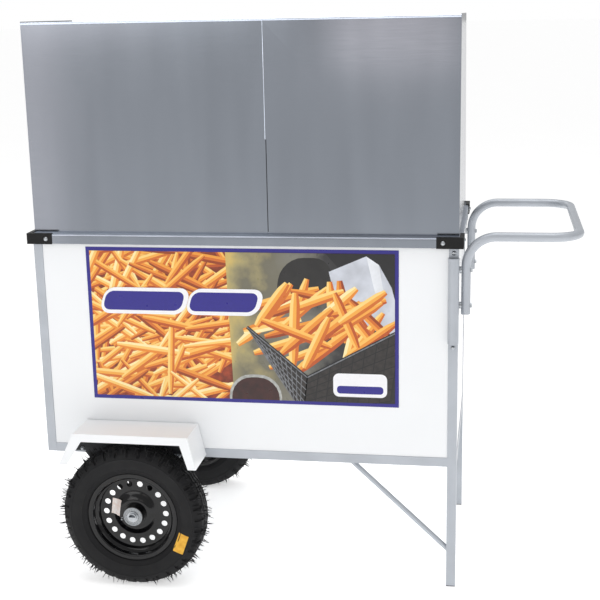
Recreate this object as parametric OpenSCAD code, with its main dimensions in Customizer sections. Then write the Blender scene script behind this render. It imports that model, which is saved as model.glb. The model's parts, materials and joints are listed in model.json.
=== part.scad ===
// Push vending cart: a frying station on a square-tube frame with two outboard wheels and two legs.
// +Z is up, the customers stand on the -Y side and the push handle is on the +X end.
// The origin is on the ground, in the middle of the cart's outer box.

/* [Body frame] */
// Length of the frame, outside to outside of its corner tubes
body_len = 1012; // [800:1:1300]
// Depth of the frame, outside to outside of its corner tubes
body_depth = 520; // [430:1:640]
// Height of the frame's underside above the ground
floor_z = 308; // [285:1:330]
// Height of the worktop's upper face above the ground
worktop_z = 859; // [700:1:1050]
// Side of the square frame tube
tube = 22; // [18:0.5:30]
// Wall of the square frame tube
tube_wall = 1.5; // [1:0.1:2.5]
// Thickness of the painted steel panels
panel_t = 1.2; // [0.8:0.1:2]
// How far the panels sit in from the tubes' outer faces
panel_inset = 1.5; // [0.5:0.1:4]
// Diameter of the round leg braces
brace_d = 12; // [8:0.5:16]
// Distance from a leg to the foot of its brace on the bottom rail
brace_run = 226; // [150:1:260]
// Drop of the brace's lower end below the frame
brace_drop = 212; // [120:1:240]
// Thickness of the head of the plastic leg plugs
plug_head = 2; // [1:0.5:5]
// Length of the plug inside the leg
plug_len = 18; // [10:1:30]

/* [Sign] */
// Margin left of the sign
sign_left = 107; // [20:1:160]
// Margin right of the sign
sign_right = 114; // [20:1:160]
// Margin above the sign
sign_above = 8; // [4:1:60]
// Margin below the sign
sign_below = 121; // [20:1:160]
// Thickness of the sign
sign_t = 1; // [0.5:0.1:1.4]

/* [Worktop] */
// Thickness of the stainless worktop sheet
top_t = 1.2; // [0.8:0.1:2]
// Height of the worktop's turned-down edge
band_h = 23; // [19:1:40]
// Overhang of the worktop past the frame
band_out = 9.3; // [6:0.1:20]
// Length of each arm of a corner guard
guard_arm = 62; // [40:1:90]
// Thickness of a corner guard
guard_t = 2; // [1:0.5:3]
// Distance of a guard's bolts from the corner
guard_bolt = 47; // [25:1:55]

/* [Windbreak] */
// Height of the windbreak above the worktop
wall_h = 491; // [300:1:600]
// Thickness of the windbreak sheets
wall_t = 1; // [0.8:0.1:1.5]
// Distance of the front sheets behind the frame's front face
wall_setback = 15; // [13:1:60]
// Distance of the side sheets inside the frame's end faces
wall_end_inset = 0; // [0:0.5:20]
// Position of the seam, measured from the frame's left end
seam_from_left = 570; // [300:1:700]
// Width of the lap behind the seam
seam_lap = 12; // [6:1:30]
// Diameter of the rolled bead on the upper edges
bead_d = 6.5; // [4:0.5:12]
// Depth of a side sheet along its upper edge
side_top_depth = 345; // [150:1:380]
// Distance of a side sheet's foot in front of the frame's rear face
side_back_gap = 5; // [0:1:60]
// Width of the feet that lie on the worktop
wall_foot = 15; // [10:1:25]
// Diameter of the two awning holes in each side sheet
awning_hole_d = 8; // [5:0.5:12]
// Distance between the two awning holes
awning_pitch = 200; // [60:1:240]
// Distance of the awning holes below the upper edge
awning_drop = 15; // [10:1:40]

/* [Push handle] */
// Outer diameter of the handle tube
handle_d = 21.3; // [18:0.1:26]
// Wall of the handle tube
handle_wall = 1.5; // [1:0.1:2.5]
// Reach of the handle past the frame's end
handle_reach = 281; // [180:1:400]
// Centreline height of the handle above the worktop
handle_rise = 1; // [-20:1:60]
// Centreline radius of the handle's bends
handle_bend = 68; // [50:1:80]
// Length of the handle's upright ends below its centreline
handle_drop = 180; // [150:1:260]
// Thickness of the washers between handle and leg
handle_washer = 6; // [4:0.5:12]
// Height of the upper handle bolt above the handle's lower end
handle_bolt_high = 103; // [80:1:105]
// Height of the lower handle bolt above the handle's lower end
handle_bolt_low = 20; // [12:1:40]

/* [Pole holder] */
// Width of the socket, which is round on its outer side
holder_w = 25; // [20:1:30]
// Depth of the socket
holder_d = 18; // [16:1:30]
// Sheet thickness of the socket
holder_t = 1.5; // [1:0.1:2.5]
// Length of the socket
holder_len = 201; // [120:1:240]
// Length of the flat tab at each end
holder_tab = 22; // [18:1:30]
// Drop of the upper tab's end below the worktop's upper face
holder_top = 24; // [24:1:60]

/* [Wheels] */
// Outer radius of the tyre
tyre_r = 176.5; // [150:0.5:205]
// Width of the tyre
tyre_w = 86; // [80:1:100]
// Radius of the rim's bead seat
rim_seat_r = 101.5; // [95:0.5:105]
// Width of the rim over its flanges
rim_w = 63; // [58:1:70]
// Sheet thickness of the rim
rim_t = 2.2; // [1.5:0.1:3]
// Number of round holes in the disc
disc_holes = 18; // [6:1:24]
// Diameter of the holes in the disc
disc_hole_d = 14.5; // [8:0.5:16]
// Diameter of the circle through the holes in the disc
disc_pcd = 150; // [130:1:156]
// Gap between the frame's side and the tyre
wheel_gap = 8; // [6:1:30]
// Distance of the wheels' axis from the frame's left end
wheel_from_left = 236; // [232:1:300]
// Diameter of the axle
axle_d = 20; // [16:0.5:22]
// Radial clearance of the bearings on the axle
axle_clear = 0.04; // [0.02:0.01:0.08]
// Outer diameter of the bearings
bearing_od = 47; // [44:1:48]
// Width of a bearing
bearing_w = 14; // [10:1:16]
// Outer diameter of the hub
hub_d = 50.8; // [50:0.1:56]
// Length of the hub
hub_len = 58; // [50:1:66]

/* [Fenders and axle brackets] */
// Gap between the tyre and the fender's top
fender_gap = 41; // [25:1:60]
// Thickness of the fender sheet
fender_t = 1.2; // [0.8:0.1:2]
// How far the fender reaches past the tyre's outer side
fender_past = 12; // [4:1:30]
// Distance by which each end of the fender stops short of the tyre's reach
fender_short = 6.8; // [-10:0.1:20]
// Slope of the fender's left end
fender_slope_left = 39; // [10:1:50]
// Slope of the fender's right end
fender_slope_right = 18; // [10:1:50]
// Width of the lip folded down round the fender's edge
fender_lip = 20; // [10:1:28]
// Thickness of the axle bracket plates
bracket_t = 4; // [3:0.5:5]
// Distance of the left arm's top from the left end of the fender
arm_left = 39.7; // [35:0.1:90]
// Distance from the axle to the top of the right arm
arm_right = 55; // [30:1:120]
// Width of the bracket's sloping arms
bracket_arm = 24; // [18:1:32]
// Radius of the bracket round the axle
bracket_boss = 26; // [20:1:34]

/* [Rear door] */
// Gap round the door
door_gap = 3; // [2:0.5:5]
// Depth of the door's folded edges
door_fold = 16; // [10:1:20]
// Distance of the door post past the rear fender
door_post_past = 27; // [20:1:60]
// Height of a hinge
hinge_h = 60; // [40:1:90]
// Width of a hinge leaf
hinge_w = 20; // [16:1:22]
// Diameter of the hinge pin
pin_d = 5; // [4:0.5:6]
// Radial clearance of the hinge on its pin
pin_clear = 0.05; // [0.02:0.01:0.08]
// Distance of the hinges from the door's upper and lower edges
hinge_inset = 60; // [40:1:100]
// Height of the door pull
pull_h = 120; // [80:1:160]

/* [Frying and draining] */
// Length of the fryer well
well_len = 290; // [240:1:300]
// Width of the fryer well
well_w = 300; // [240:1:320]
// Depth of the fryer well
well_depth = 180; // [140:1:220]
// Sheet thickness of the well and the tray
well_t = 1.2; // [0.8:0.1:2]
// Width of the flanges that rest on the worktop
flange = 13; // [8:1:16]
// Distance of the well from the frame's left end
well_from_left = 100; // [60:1:120]
// Corner radius of the well and the tray
corner_r = 25; // [10:1:40]
// Gap between the well and the fry basket
basket_gap = 15; // [8:1:30]
// Height of the fry basket
basket_h = 120; // [80:1:150]
// Diameter of the basket's frame rods
rod_d = 6; // [4:0.5:8]
// Length of the drain tray
tray_len = 300; // [240:1:310]
// Width of the drain tray
tray_w = 300; // [240:1:320]
// Depth of the drain tray
tray_depth = 50; // [35:1:90]
// Distance of the tray from the frame's right end
tray_from_right = 80; // [60:1:110]
// Number of wires in the drain rack
rack_wires = 13; // [7:1:21]
// Diameter of the burner ring
burner_d = 170; // [120:1:200]
// Drop of the burner below the well
burner_drop = 40; // [30:1:60]
// Diameter of the valve knob
knob_d = 42; // [30:1:50]

/* [Hidden] */
$fn = 48;

// colours
FRAME_GREY = "#B9BFC9";
PANEL_WHITE = "#F2F3F4";
STAINLESS = "#9A9EA4";
ZINC = "#B8BBBE";
BLACK = "#26262A";
STEEL_DARK = "#45474C";
CAST_IRON = "#3A3A3C";
BRASS = "#B59A55";

// small fixed sizes
cut = 1;
air = 0.4;
weld = 0.5;
hole_slack = 0.2;
bolt_r = 3;
bolt_past = 3;
hex_r = 5.5;
rivet_r = 2;
rivet_head = 4;
dome_r = 5.5;
dome_h = 3.6;
dome_ball = (dome_r * dome_r + dome_h * dome_h) / (2 * dome_h);
arc_steps = 8;

// places of the frame, from the middle of its length and depth
half_len = body_len / 2;
half_depth = body_depth / 2;
rail_top = floor_z + tube;
beam_top = worktop_z - top_t;
beam_low = beam_top - tube;
inner_x = half_len - tube;
inner_y = half_depth - tube;
panel_h = beam_low - rail_top;
panel_y = half_depth - panel_inset;
panel_x = half_len - panel_inset;

// the worktop's edge, the guards and the handle set the outer box
band_x = half_len + band_out;
band_y = half_depth + band_out;
guard_x = band_x + guard_t;
guard_y = band_y + guard_t;
handle_x = half_len + handle_reach;
mid_x = (handle_x - guard_x) / 2;
guard_gap = 1.3;
guard_lip = guard_x - half_len + wall_end_inset - guard_gap;

// wheels
wheel_x = -half_len + wheel_from_left;
wheel_y = half_depth + wheel_gap + tyre_w / 2;
axle_r = axle_d / 2;
hub_r = hub_d / 2;
bearing_r = bearing_od / 2;
hub_half = hub_len / 2;
ring_t = 1.2;
press_fit = 0.03;
stem_z = -7.5;
stem_r = 4;
stem_turn = 100;
bead_h = 11.3;
rim_well = rim_seat_r - 8.5;
dome_rise = 12;
axle_past = 6;
axle_half = wheel_y + hub_half + axle_past;

// fenders
fender_z = 2 * tyre_r + fender_gap;
fender_low = floor_z + 6;
fender_end = tyre_r - fender_short;
fender_y = wheel_y + tyre_w / 2 + fender_past;
plate_y = half_depth + bracket_t;
bracket_bolt_in = 25;

// rear door
door_post_x = wheel_x + fender_end + door_post_past + tube / 2;
door_left = door_post_x + tube / 2 + door_gap;
door_right = inner_x - door_gap;
door_low = rail_top + door_gap;
door_high = beam_low - door_gap;
leaf_t = 1.5;
leaf_from = 6;
leaf_trim = 4;
tongue_reach = 7;
tongue_lift = 0.8;
knuckle_r = 4.5;
hinge_x = inner_x - door_gap / 2;
hinge_y = half_depth + knuckle_r + 0.3;
knuckle_h = (hinge_h - 2 * air) / 3;

// frying and draining
well_x = -half_len + well_from_left + well_len / 2;
tray_x = half_len - tray_from_right - tray_len / 2;
basket_len = well_len - 2 * basket_gap;
basket_w = well_w - 2 * basket_gap;
basket_low = worktop_z - well_depth + 5;
basket_top = basket_low + basket_h;
grip_rise = 42;
grip_z = worktop_z + grip_rise - rod_d;
grip_rod = 9;
burner_z = worktop_z - well_depth - burner_drop;
burner_ring = 14;
mixer_len = 60;
hanger_w = 25;
hanger_x = burner_d * 0.4;
valve_z = worktop_z - 70;
valve_y = panel_y - panel_t;
spindle_r = 4;
spindle_room = 2;
knob_fit = 0.05;
knob_gap = 1.5;

// windbreak
awning_in = 55;
rivet_in = 60;
rivet_by_seam = 45;
side_rivet_in = 90;
wall_y = -half_depth + wall_setback;
wall_x = half_len - wall_end_inset;
wall_z = worktop_z + wall_h;
seam_x = -half_len + seam_from_left;
side_back = half_depth - side_back_gap;
side_top_back = wall_y + side_top_depth;

// points of a circle arc
function arc(cx, cy, r, from, to, steps = arc_steps) =
    [for (i = [0:steps]) [cx + r * cos(from + (to - from) * i / steps),
                          cy + r * sin(from + (to - from) * i / steps)]];

// outline of a rectangle with round corners, about its middle
function rounded(w, d, r) = concat(
    arc(w / 2 - r, d / 2 - r, r, 0, 90, 6),
    arc(-w / 2 + r, d / 2 - r, r, 90, 180, 6),
    arc(-w / 2 + r, -d / 2 + r, r, 180, 270, 6),
    arc(w / 2 - r, -d / 2 + r, r, 270, 360, 6));

// outline of a fender seen from the customers' side, about the axle's line
function fender_outline(inset) = [
    [-fender_end + inset, fender_low],
    [-fender_end + fender_slope_left + inset, fender_z - inset],
    [fender_end - fender_slope_right - inset, fender_z - inset],
    [fender_end - inset, fender_low]];

// moves from the frame's middle to the origin under the whole cart
module placed() {
    translate([-mid_x, 0, 0]) children();
}

// a box given by its lowest and highest corners
module block(low, high) {
    translate(low) cube([high[0] - low[0], high[1] - low[1], high[2] - low[2]]);
}

// a square tube along Z, standing on z = low
module upright(x, y, low, high) {
    difference() {
        block([x - tube / 2, y - tube / 2, low], [x + tube / 2, y + tube / 2, high]);
        block([x - tube / 2 + tube_wall, y - tube / 2 + tube_wall, low - cut],
              [x + tube / 2 - tube_wall, y + tube / 2 - tube_wall, high + cut]);
    }
}

// a square tube along X between the corner tubes
module rail_x(y, z, from, to) {
    difference() {
        block([from, y - tube / 2, z], [to, y + tube / 2, z + tube]);
        block([from - cut, y - tube / 2 + tube_wall, z + tube_wall],
              [to + cut, y + tube / 2 - tube_wall, z + tube - tube_wall]);
    }
}

// a square tube along Y between the corner tubes
module rail_y(x, z) {
    difference() {
        block([x - tube / 2, -inner_y, z], [x + tube / 2, inner_y, z + tube]);
        block([x - tube / 2 + tube_wall, -inner_y - cut, z + tube_wall],
              [x + tube / 2 - tube_wall, inner_y + cut, z + tube - tube_wall]);
    }
}

// a rod between two points
module rod(from, to, r) {
    run = to - from;
    length = norm(run);
    translate(from)
        rotate([0, acos(run[2] / length), atan2(run[1], run[0])])
            cylinder(r = r, h = length);
}

// a bolt along Z with a domed head above z = 0
module dome_bolt(shank) {
    rotate_extrude()
        polygon(concat([[0, 0]], arc(0, dome_h - dome_ball, dome_ball,
                                     asin((dome_ball - dome_h) / dome_ball), 90)));
    translate([0, 0, -shank]) cylinder(r = bolt_r, h = shank + cut);
}

// turns a shape's +Z to point along -Y or +Y
module facing(side) {
    rotate([-side * 90, 0, 0]) children();
}

// ---- frame ----

module post_left(y) {
    upright(-half_len + tube / 2, y, floor_z, beam_top);
}

module post_front_left() {
    color(FRAME_GREY) placed() post_left(-half_depth + tube / 2);
}

module post_rear_left() {
    color(FRAME_GREY) placed() post_left(half_depth - tube / 2);
}

// the right corner tubes reach the ground as legs, drilled for the handle
module leg_right(side) {
    leg_y = side * (half_depth - tube / 2);
    difference() {
        upright(half_len - tube / 2, leg_y, plug_head, beam_top);
        for (z = [handle_bolt_low, handle_bolt_high])
            translate([half_len - tube_wall - cut, leg_y, handle_foot() + z])
                rotate([0, 90, 0]) cylinder(r = bolt_r + hole_slack, h = tube_wall + 2 * cut);
        if (side < 0)
            for (z = holder_bolts())
                translate([half_len - tube / 2, -half_depth - cut, z])
                    rotate([-90, 0, 0]) cylinder(r = bolt_r + hole_slack, h = tube_wall + 2 * cut);
    }
}

module leg_front_right() {
    color(FRAME_GREY) placed() leg_right(-1);
}

module leg_rear_right() {
    color(FRAME_GREY) placed() leg_right(1);
}

module bottom_rails() {
    color(FRAME_GREY) placed() {
        for (side = [-1, 1]) {
            difference() {
                rail_x(side * (half_depth - tube / 2), floor_z, -inner_x, inner_x);
                for (x = bracket_bolts())
                    translate([x, side * (half_depth + cut), floor_z + tube / 2])
                        facing(-side) cylinder(r = bolt_r + hole_slack, h = tube_wall + 2 * cut);
            }
            rail_y(side * (half_len - tube / 2), floor_z);
        }
    }
}

module top_rails() {
    color(FRAME_GREY) placed()
        difference() {
            for (side = [-1, 1]) {
                rail_x(side * (half_depth - tube / 2), beam_low, -inner_x, inner_x);
                rail_y(side * (half_len - tube / 2), beam_low);
            }
            rivet_places() translate([0, 0, -tube / 2])
                cylinder(r = rivet_r + hole_slack, h = tube);
        }
}

module door_post() {
    color(FRAME_GREY) placed() upright(door_post_x, half_depth - tube / 2, rail_top, beam_low);
}

// round stays from the bottom rail down to the legs
module leg_braces() {
    spare = 0.1;
    color(FRAME_GREY) placed()
        for (side = [-1, 1])
            intersection() {
                rod([inner_x - (1 + spare) * brace_run, side * (half_depth - tube / 2),
                     floor_z + spare * brace_drop],
                    [inner_x + spare * brace_run, side * (half_depth - tube / 2),
                     floor_z - (1 + spare) * brace_drop], brace_d / 2);
                block([-half_len, -half_depth, 0], [inner_x, half_depth, floor_z]);
            }
}

module leg_plugs() {
    bore = tube - 2 * tube_wall;
    color(STEEL_DARK) placed()
        for (side = [-1, 1])
            translate([half_len - tube / 2, side * (half_depth - tube / 2), 0]) {
                block([-tube / 2, -tube / 2, 0], [tube / 2, tube / 2, plug_head]);
                block([-bore / 2, -bore / 2, 0], [bore / 2, bore / 2, plug_head + plug_len]);
            }
}

// ---- panels ----

module front_panel() {
    color(PANEL_WHITE) placed()
        block([-inner_x, -panel_y, rail_top], [inner_x, -panel_y + panel_t, beam_low]);
}

module end_panel(side) {
    outer = side * panel_x;
    inner = side * (panel_x - panel_t);
    block([min(outer, inner), -inner_y, rail_top], [max(outer, inner), inner_y, beam_low]);
}

module left_panel() {
    color(PANEL_WHITE) placed() end_panel(-1);
}

module right_panel() {
    color(PANEL_WHITE) placed() end_panel(1);
}

// the fixed half of the rear, with a hole for the valve's spindle
module rear_panel() {
    color(PANEL_WHITE) placed()
        difference() {
            block([-inner_x, valve_y, rail_top], [door_post_x - tube / 2, panel_y, beam_low]);
            translate([well_x, valve_y - cut, valve_z])
                facing(1) cylinder(r = spindle_r + spindle_room, h = panel_t + 2 * cut);
        }
}

module floor_panel() {
    color(PANEL_WHITE) placed() {
        block([-inner_x, -panel_y + panel_t, rail_top], [inner_x, inner_y, rail_top + panel_t]);
        block([-panel_x + panel_t, -inner_y, rail_top],
              [panel_x - panel_t, inner_y, rail_top + panel_t]);
    }
}

module sign_plate() {
    color("#2F2391") placed()
        block([-inner_x + sign_left, -panel_y - sign_t, rail_top + sign_below],
              [inner_x - sign_right, -panel_y, worktop_z - band_h - sign_above]);
}

// ---- rear door ----

module rear_door() {
    color(PANEL_WHITE) placed()
        difference() {
            block([door_left, half_depth - door_fold, door_low], [door_right, half_depth, door_high]);
            block([door_left + panel_t, half_depth - door_fold - cut, door_low + panel_t],
                  [door_right - panel_t, half_depth - panel_t, door_high - panel_t]);
        }
}

module door_pull() {
    pull_from_edge = 32;
    pull_x = door_left + pull_from_edge;
    pull_z = (door_low + door_high) / 2;
    pull_out = 32;
    pull_r = 5;
    color(BLACK) placed()
        difference() {
            block([pull_x - pull_r, half_depth, pull_z - pull_h / 2],
                  [pull_x + pull_r, half_depth + pull_out, pull_z + pull_h / 2]);
            block([pull_x - pull_r - cut, half_depth - cut, pull_z - pull_h / 2 + 2 * pull_r],
                  [pull_x + pull_r + cut, half_depth + pull_out - 2 * pull_r,
                   pull_z + pull_h / 2 - 2 * pull_r]);
        }
}

function hinge_heights() = [door_low + hinge_inset, door_high - hinge_inset - hinge_h];

// leaves on the leg, each with two knuckles and the pin
module hinge_leaves_frame() {
    color(ZINC) placed()
        for (z = hinge_heights())
            translate([hinge_x, 0, z]) {
                block([leaf_from, half_depth, 0],
                      [leaf_from + hinge_w - leaf_trim, half_depth + leaf_t, hinge_h]);
                for (low = [0, hinge_h - knuckle_h]) {
                    block([0, half_depth + tongue_lift, low],
                          [tongue_reach, half_depth + leaf_t, low + knuckle_h]);
                    translate([0, hinge_y, low]) cylinder(r = knuckle_r, h = knuckle_h);
                }
                translate([0, hinge_y, 1]) cylinder(r = pin_d / 2, h = hinge_h - 2);
            }
}

// leaves on the door, each with the middle knuckle
module hinge_leaves_door() {
    low = knuckle_h + air;
    color(ZINC) placed()
        for (z = hinge_heights())
            translate([hinge_x, 0, z])
                difference() {
                    union() {
                        block([-leaf_from - hinge_w, half_depth, 0],
                              [-leaf_from, half_depth + leaf_t, hinge_h]);
                        block([-tongue_reach, half_depth + tongue_lift, low],
                              [0, half_depth + leaf_t, low + knuckle_h]);
                        translate([0, hinge_y, low]) cylinder(r = knuckle_r, h = knuckle_h);
                    }
                    translate([0, hinge_y, low - cut])
                        cylinder(r = pin_d / 2 + pin_clear, h = knuckle_h + 2 * cut);
                }
}

// magnetic catch on the door post
module door_catch() {
    catch_w = 18;
    catch_d = 14;
    catch_h = 40;
    catch_drop = 50;
    left = door_post_x + tube / 2;
    back = half_depth - door_fold - air;
    color(BLACK) placed()
        block([left, back - catch_d, door_high - catch_drop - catch_h],
              [left + catch_w, back, door_high - catch_drop]);
}

// ---- worktop and guards ----

module worktop() {
    low = worktop_z - band_h;
    color(STAINLESS) placed()
        difference() {
            block([-band_x, -band_y, low], [band_x, band_y, worktop_z]);
            block([-band_x + top_t, -band_y + top_t, low - cut],
                  [band_x - top_t, band_y - top_t, worktop_z - top_t]);
            translate([well_x, 0, low - cut])
                linear_extrude(band_h + 2 * cut) polygon(rounded(well_len, well_w, corner_r));
            translate([tray_x, 0, low - cut])
                linear_extrude(band_h + 2 * cut) polygon(rounded(tray_len, tray_w, corner_r));
            guard_bolt_places()
                translate([0, 0, -guard_t - top_t - cut])
                    cylinder(r = bolt_r + hole_slack, h = top_t + 2 * cut);
            rivet_places() translate([0, 0, -top_t - cut])
                cylinder(r = rivet_r + hole_slack, h = top_t + 2 * cut);
        }
}

// puts a shape, its +Z pointing outwards, at each guard bolt
module guard_bolt_places() {
    z = worktop_z - band_h / 2;
    for (sx = [-1, 1], sy = [-1, 1]) {
        translate([sx * (guard_x - guard_bolt), sy * guard_y, z]) facing(sy) children();
        translate([sx * guard_x, sy * (guard_y - guard_bolt), z])
            rotate([0, sx * 90, 0]) children();
    }
}

module corner_guards() {
    low = worktop_z - band_h - 1;
    color(BLACK) placed()
        difference() {
            for (sx = [-1, 1], sy = [-1, 1])
                intersection() {
                    difference() {
                        block([-guard_x, -guard_y, low], [guard_x, guard_y, worktop_z + guard_t]);
                        block([-band_x, -band_y, low - cut], [band_x, band_y, worktop_z]);
                        block([-guard_x + guard_lip, -guard_y + guard_lip, low],
                              [guard_x - guard_lip, guard_y - guard_lip, worktop_z + guard_t + cut]);
                    }
                    translate([sx * guard_x, sy * guard_y, low])
                        block([-guard_arm, -guard_arm, -cut], [guard_arm, guard_arm, 2 * band_h]);
                }
            guard_bolt_places()
                translate([0, 0, -guard_t - cut])
                    cylinder(r = bolt_r + hole_slack, h = guard_t + 2 * cut);
        }
}

function bracket_bolts() = [wheel_x - fender_end + bracket_bolt_in, wheel_x,
                            wheel_x + fender_end - bracket_bolt_in];
function holder_bolts() = [worktop_z - holder_top - holder_tab / 2,
                           worktop_z - holder_top - holder_len - holder_tab * 3 / 2];

module dome_bolts() {
    color(ZINC) placed() {
        guard_bolt_places() dome_bolt(guard_t + top_t + bolt_past);
        for (side = [-1, 1], x = bracket_bolts())
            translate([x, side * plate_y, floor_z + tube / 2])
                facing(side) dome_bolt(bracket_t + tube_wall + bolt_past);
        for (z = holder_bolts())
            translate([half_len - tube / 2, -half_depth - holder_t, z])
                facing(-1) dome_bolt(holder_t + tube_wall + bolt_past);
    }
}

// ---- windbreak ----

// puts a shape at each rivet through the feet of the windbreak
module rivet_places() {
    foot_y = wall_y + wall_t + wall_foot * 0.6;
    foot_x = wall_x - wall_t - wall_foot * 0.6;
    for (x = [-half_len + rivet_in, (seam_x - half_len) / 2, seam_x - rivet_by_seam,
              seam_x + rivet_by_seam, (seam_x + half_len) / 2, half_len - rivet_in])
        translate([x, foot_y, worktop_z]) children();
    for (sx = [-1, 1], y = [wall_y + side_rivet_in, side_back - side_rivet_in])
        translate([sx * foot_x, y, worktop_z]) children();
}

// one front sheet: wall, foot on the worktop and bead along its upper edge
module front_sheet(from, to, y) {
    foot_end_from = max(from, -wall_x + wall_t);
    foot_end_to = min(to, wall_x - wall_t);
    difference() {
        union() {
            block([from, y, worktop_z], [to, y + wall_t, wall_z - bead_d / 2]);
            block([foot_end_from, y, worktop_z],
                  [foot_end_to, wall_y + wall_t + wall_foot, worktop_z + wall_t]);
            translate([from, y + wall_t / 2, wall_z - bead_d / 2])
                rotate([0, 90, 0]) cylinder(r = bead_d / 2, h = to - from);
        }
        rivet_places() translate([0, 0, -cut])
            cylinder(r = rivet_r + hole_slack, h = wall_t + 2 * cut);
    }
}

module front_wall_left() {
    color(STAINLESS) placed() front_sheet(-wall_x + wall_t, seam_x, wall_y);
}

// the right sheet laps behind the left one
module front_wall_right() {
    color(STAINLESS) placed()
        difference() {
            front_sheet(seam_x - seam_lap, wall_x - wall_t, wall_y + wall_t);
            block([seam_x - seam_lap - cut, wall_y - bead_d, wall_z - bead_d - cut],
                  [seam_x, wall_y + 2 * bead_d, wall_z + cut]);
            block([seam_x - seam_lap - cut, wall_y, worktop_z - cut],
                  [seam_x, wall_y + 2 * wall_t + wall_foot, worktop_z + wall_t]);
        }
}

module side_sheet(side) {
    side_over = 2;
    outer = side * wall_x;
    inner = side * (wall_x - wall_t);
    foot = side * (wall_x - wall_t - wall_foot);
    front_foot = wall_y + 2 * wall_t + wall_foot + 1;
    difference() {
        union() {
            translate([min(outer, inner), 0, 0])
                rotate([90, 0, 90])
                    linear_extrude(wall_t)
                        polygon([[wall_y, worktop_z], [side_back, worktop_z],
                                 [side_top_back, wall_z + side_over], [wall_y, wall_z + side_over]]);
            block([min(inner, foot), front_foot, worktop_z],
                  [max(inner, foot), side_back, worktop_z + wall_t]);
        }
        for (y = awning_holes())
            translate([side * (wall_x + cut), y, wall_z - awning_drop])
                rotate([0, -side * 90, 0]) cylinder(d = awning_hole_d, h = wall_t + 2 * cut);
        rivet_places() translate([0, 0, -cut])
            cylinder(r = rivet_r + hole_slack, h = wall_t + 2 * cut);
    }
}

function awning_holes() = [wall_y + awning_in, wall_y + awning_in + awning_pitch];

module side_wall_left() {
    color(STAINLESS) placed() side_sheet(-1);
}

module side_wall_right() {
    color(STAINLESS) placed() side_sheet(1);
}

module wall_rivets() {
    rivet_crown = 1.4;
    rivet_past = 1.5;
    color(ZINC) placed()
        rivet_places() {
            translate([0, 0, wall_t])
                rotate_extrude()
                    polygon([[0, 0], [rivet_head, 0], [rivet_head * 0.8, rivet_crown * 0.7],
                             [0, rivet_crown]]);
            translate([0, 0, -top_t - rivet_past])
                cylinder(r = rivet_r, h = top_t + rivet_past + weld + wall_t);
        }
}

// ---- push handle ----

function handle_foot() = worktop_z + handle_rise - handle_drop;

// a piece of handle tube of outer radius r, for the tube itself and for its bore
module handle_run(r) {
    leg_y = half_depth - tube / 2;
    leg_x = half_len + handle_washer + handle_d / 2;
    grip_x = handle_x - handle_d / 2;
    top = worktop_z + handle_rise;
    for (side = [-1, 1]) {
        translate([leg_x, side * leg_y, handle_foot()])
            cylinder(r = r, h = handle_drop - handle_bend);
        translate([leg_x + handle_bend, side * leg_y, top - handle_bend])
            rotate([90, 0, 0]) rotate([0, 0, 90])
                rotate_extrude(angle = 90) translate([handle_bend, 0]) circle(r = r);
        translate([leg_x + handle_bend, side * leg_y, top])
            rotate([0, 90, 0]) cylinder(r = r, h = grip_x - leg_x - 2 * handle_bend);
        translate([grip_x - handle_bend, side * (leg_y - handle_bend), top])
            rotate([0, 0, side > 0 ? 0 : -90])
                rotate_extrude(angle = 90) translate([handle_bend, 0]) circle(r = r);
    }
    translate([grip_x, -leg_y + handle_bend, top])
        rotate([-90, 0, 0]) cylinder(r = r, h = 2 * (leg_y - handle_bend));
}

module push_handle() {
    leg_y = half_depth - tube / 2;
    color(FRAME_GREY) placed()
        difference() {
            handle_run(handle_d / 2);
            handle_run(handle_d / 2 - handle_wall);
            for (side = [-1, 1]) {
                translate([half_len + handle_washer + handle_d / 2, side * leg_y, handle_foot() - cut])
                    cylinder(r = handle_d / 2 - handle_wall, h = 2 * cut);
                for (z = [handle_bolt_low, handle_bolt_high])
                    translate([half_len, side * leg_y, handle_foot() + z])
                        rotate([0, 90, 0]) cylinder(r = bolt_r + hole_slack, h = 2 * handle_d);
            }
        }
}

// hex bolts through the handle into nuts inside the leg, with their saddle washers
module handle_bolts() {
    leg_y = half_depth - tube / 2;
    nut = 5;
    head = 4;
    washer_r = 8;
    washer_cup = 1.2;
    color(ZINC) placed()
        for (side = [-1, 1], z = [handle_bolt_low, handle_bolt_high])
            translate([half_len, side * leg_y, handle_foot() + z]) rotate([0, 90, 0]) {
                difference() {
                    cylinder(r = washer_r, h = handle_washer + washer_cup);
                    translate([0, 0, -cut]) cylinder(r = bolt_r + hole_slack, h = handle_washer * 2);
                    translate([0, 0, handle_washer + handle_d / 2])
                        rotate([0, 90, 0]) cylinder(r = handle_d / 2, h = 4 * handle_d, center = true);
                }
                translate([0, 0, -tube_wall - nut])
                    cylinder(r = bolt_r, h = tube_wall + nut + handle_washer + handle_d);
                translate([0, 0, handle_washer + handle_d]) cylinder(r = hex_r, h = head, $fn = 6);
                translate([0, 0, -tube_wall - nut]) cylinder(r = hex_r, h = nut, $fn = 6);
            }
}

// ---- pole holder on the front leg ----

// outline of the socket seen from above, flat against the leg and round on its outer side
function holder_outline(inset) = concat(
    [[holder_w / 2 - inset, -inset]],
    [[-holder_w / 2 + inset, -inset]],
    arc(0, -holder_d + holder_w / 2, holder_w / 2 - inset, 180, 360));

module pole_holder() {
    x = half_len - tube / 2;
    high = worktop_z - holder_top - holder_tab;
    low = high - holder_len;
    tab = tube - 2;
    color(FRAME_GREY) placed()
        difference() {
            union() {
                translate([x, -half_depth, low])
                    linear_extrude(holder_len) polygon(holder_outline(0));
                block([x - tab / 2, -half_depth - holder_t, low - holder_tab],
                      [x + tab / 2, -half_depth, high + holder_tab]);
            }
            translate([x, -half_depth, low - holder_tab - cut])
                linear_extrude(holder_len + 2 * holder_tab + 2 * cut)
                    polygon(holder_outline(holder_t));
            for (z = holder_bolts())
                translate([x, -half_depth - holder_t - cut, z])
                    rotate([-90, 0, 0]) cylinder(r = bolt_r + hole_slack, h = holder_t + 2 * cut);
        }
}

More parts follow.
